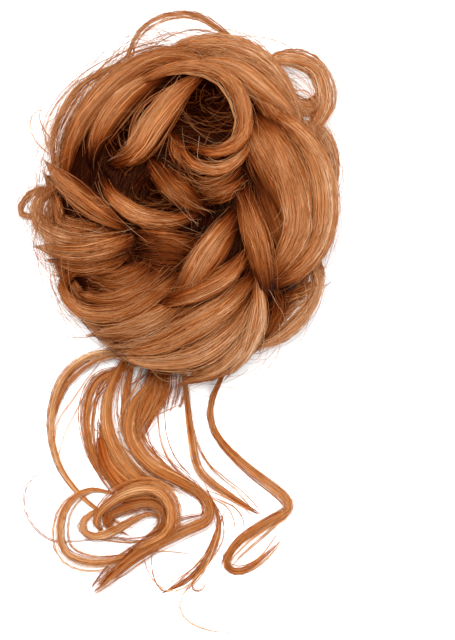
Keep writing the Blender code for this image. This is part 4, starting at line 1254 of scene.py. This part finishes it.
def main():
    hair = strand_material("hair_strands", 0.0)
    # The lock bodies, which lie under the strands, and the core are painted darker than the strands, as
    # painted shade
    body_hair = lock_material("hair_locks", 0.08)
    core_hair = lock_material("hair_core", 0.05)
    tail_hair = strand_material("tail_strands", 0.0, TAIL_TONES)
    tail_body_hair = lock_material("tail_locks", 0.06, TAIL_TONES)

    bun_locks = [bun_lock(*row) for row in BUN_LOCKS]
    wraps = wrap_locks()
    tail_locks = [tail_lock(*row) for row in CURL_LOCKS + (THIN_LOCK_ROW, LONG_LOCK_ROW)]
    curl_locks = tail_locks[:len(CURL_LOCKS)]
    declare(build_core(core_hair), "hair", "bun")
    declare(build_band(band_material()), "elastic", "elastic_band")
    thick = [lock_ for lock_ in bun_locks if width_of(lock_) > THREAD_WIDTH]
    declare(lock_bodies("bun_locks", thick, body_hair), "hair")
    declare(lock_bodies("side_locks", wraps, body_hair), "hair")

    threads = [threads_of(lock_) for lock_ in tail_locks]
    wide = [lock_ for lock_ in curl_locks if width_of(lock_) > WIDE_LOCK]
    # Painted shade on the wide trailing locks, which lie under their threads
    for lock_ in wide:
        lock_.tone -= WIDE_PAINTED_SHADE
    curl_threads = sum(threads[:len(curl_locks)], [])
    declare(lock_bodies("tail_locks", curl_threads, tail_body_hair), "tail_hair", "tail_curls")
    declare(lock_bodies("tail_fill", wide, tail_body_hair), "tail_hair")
    declare(lock_bodies("thin_lock", threads[-2], tail_body_hair), "tail_hair", "tail_thin_lock")
    declare(lock_bodies("long_lock", threads[-1], tail_body_hair), "tail_hair", "tail_long_lock")

    by_name = {lock_.name: lock_ for lock_ in bun_locks}
    pairs = [(by_name[first], by_name[second]) for first, second in SHEETS]
    ribbons = [ribbons_on(lock_) for lock_ in bun_locks]
    ribbons += [sheet_ribbons(*pair) for pair in pairs]
    declare(ribbon_piece("bun_ribbons", ribbons, body_hair), "hair")
    bun_wisps = companions(bun_locks, *BUN_COMPANIONS)
    sheets = [sheet_strands(*pair) for pair in pairs]
    declare(strand_piece("sheet_strands", sheets, hair), "hair")
    strand_pieces("side_strands", wraps, hair, "hair")
    bun_wisps += [bun_wisp(*row) for row in BUN_WISPS]
    fills = [lock_ for lock_ in bun_wisps if not lock_.free and width_of(lock_) > THREAD_WIDTH]
    declare(lock_bodies("bun_fill", fills, body_hair), "hair")
    all_locks = bun_locks + bun_wisps
    short = [lock_ for lock_ in all_locks if lock_.length < SHORT_LOCK]
    long_locks = [lock_ for lock_ in all_locks if lock_.length >= SHORT_LOCK]
    strand_pieces("short_strands", short, hair, "hair")
    strand_pieces("bun_strands", long_locks, hair, "hair")

    tail_wisps = [tail_wisp(*row) for row in TAIL_WISPS]
    tail_wisps += companions(tail_locks, *TAIL_COMPANIONS)
    trailing = sum(threads, []) + tail_wisps + wide
    for prefix, shortest, longest in TAIL_GROUPS:
        group = [lock_ for lock_ in trailing if shortest <= lock_.length < longest]
        strand_pieces(prefix, group, tail_hair, "tail_hair")

    declare(strand_piece("core_strands", [under_strands(UNDER_STRANDS, UNDER_SECTIONS)], hair), "hair")
    loose = [rim_hairs(RIM_HAIRS, STRAY_SECTIONS)]
    loose += [pit_hairs(place, halves, PIT_HAIRS, STRAY_SECTIONS) for _, place, halves, _ in PITS]
    loose += lock_strays(bun_locks, STRAY_SECTIONS, *BUN_STRAYS)
    loose += lock_strays(tail_locks, STRAY_SECTIONS, *TAIL_STRAYS)
    declare(strand_piece("stray_hairs", loose, hair), "hair")


def floor():
    mesh = bpy.data.meshes.new("floor")
    corners = [(x * FLOOR_REACH, y * FLOOR_REACH, 0) for x, y in ((-1, -1), (1, -1), (1, 1), (-1, 1))]
    mesh.from_pydata(corners, [], [(0, 1, 2, 3)])
    material, _, shader = principled("pale_floor", FLOOR_GLOSS)
    shader.inputs["Base Color"].default_value = FLOOR_COLOUR
    mesh.materials.append(material)
    add_object("floor", mesh)


def area_light(name, place, size, power):
    light = bpy.data.lights.new(name, "AREA")
    light.shape = "SQUARE"
    light.size = size
    light.energy = power
    obj = add_object(name, light)
    obj.location = place
    obj.rotation_euler = (Vector(LIGHT_TARGET) - Vector(place)).to_track_quat("-Z", "Y").to_euler()


def light_and_camera():
    scene = bpy.context.scene
    scene.view_settings.view_transform = "Standard"
    scene.world = bpy.data.worlds.new("studio")
    scene.world.use_nodes = True
    background = scene.world.node_tree.nodes["Background"]
    background.inputs["Color"].default_value = (1, 1, 1, 1)
    background.inputs["Strength"].default_value = WORLD_LIGHT
    for row in LIGHTS:
        area_light(*row)
    camera = bpy.data.cameras.new("camera")
    camera.lens = SENSOR_SIZE * CAMERA_DISTANCE / (PHOTO_HEIGHT * METRES_A_PIXEL)
    scene.camera = add_object("camera", camera)
    scene.camera.location = CAMERA_PLACE


main()
floor()
light_and_camera()
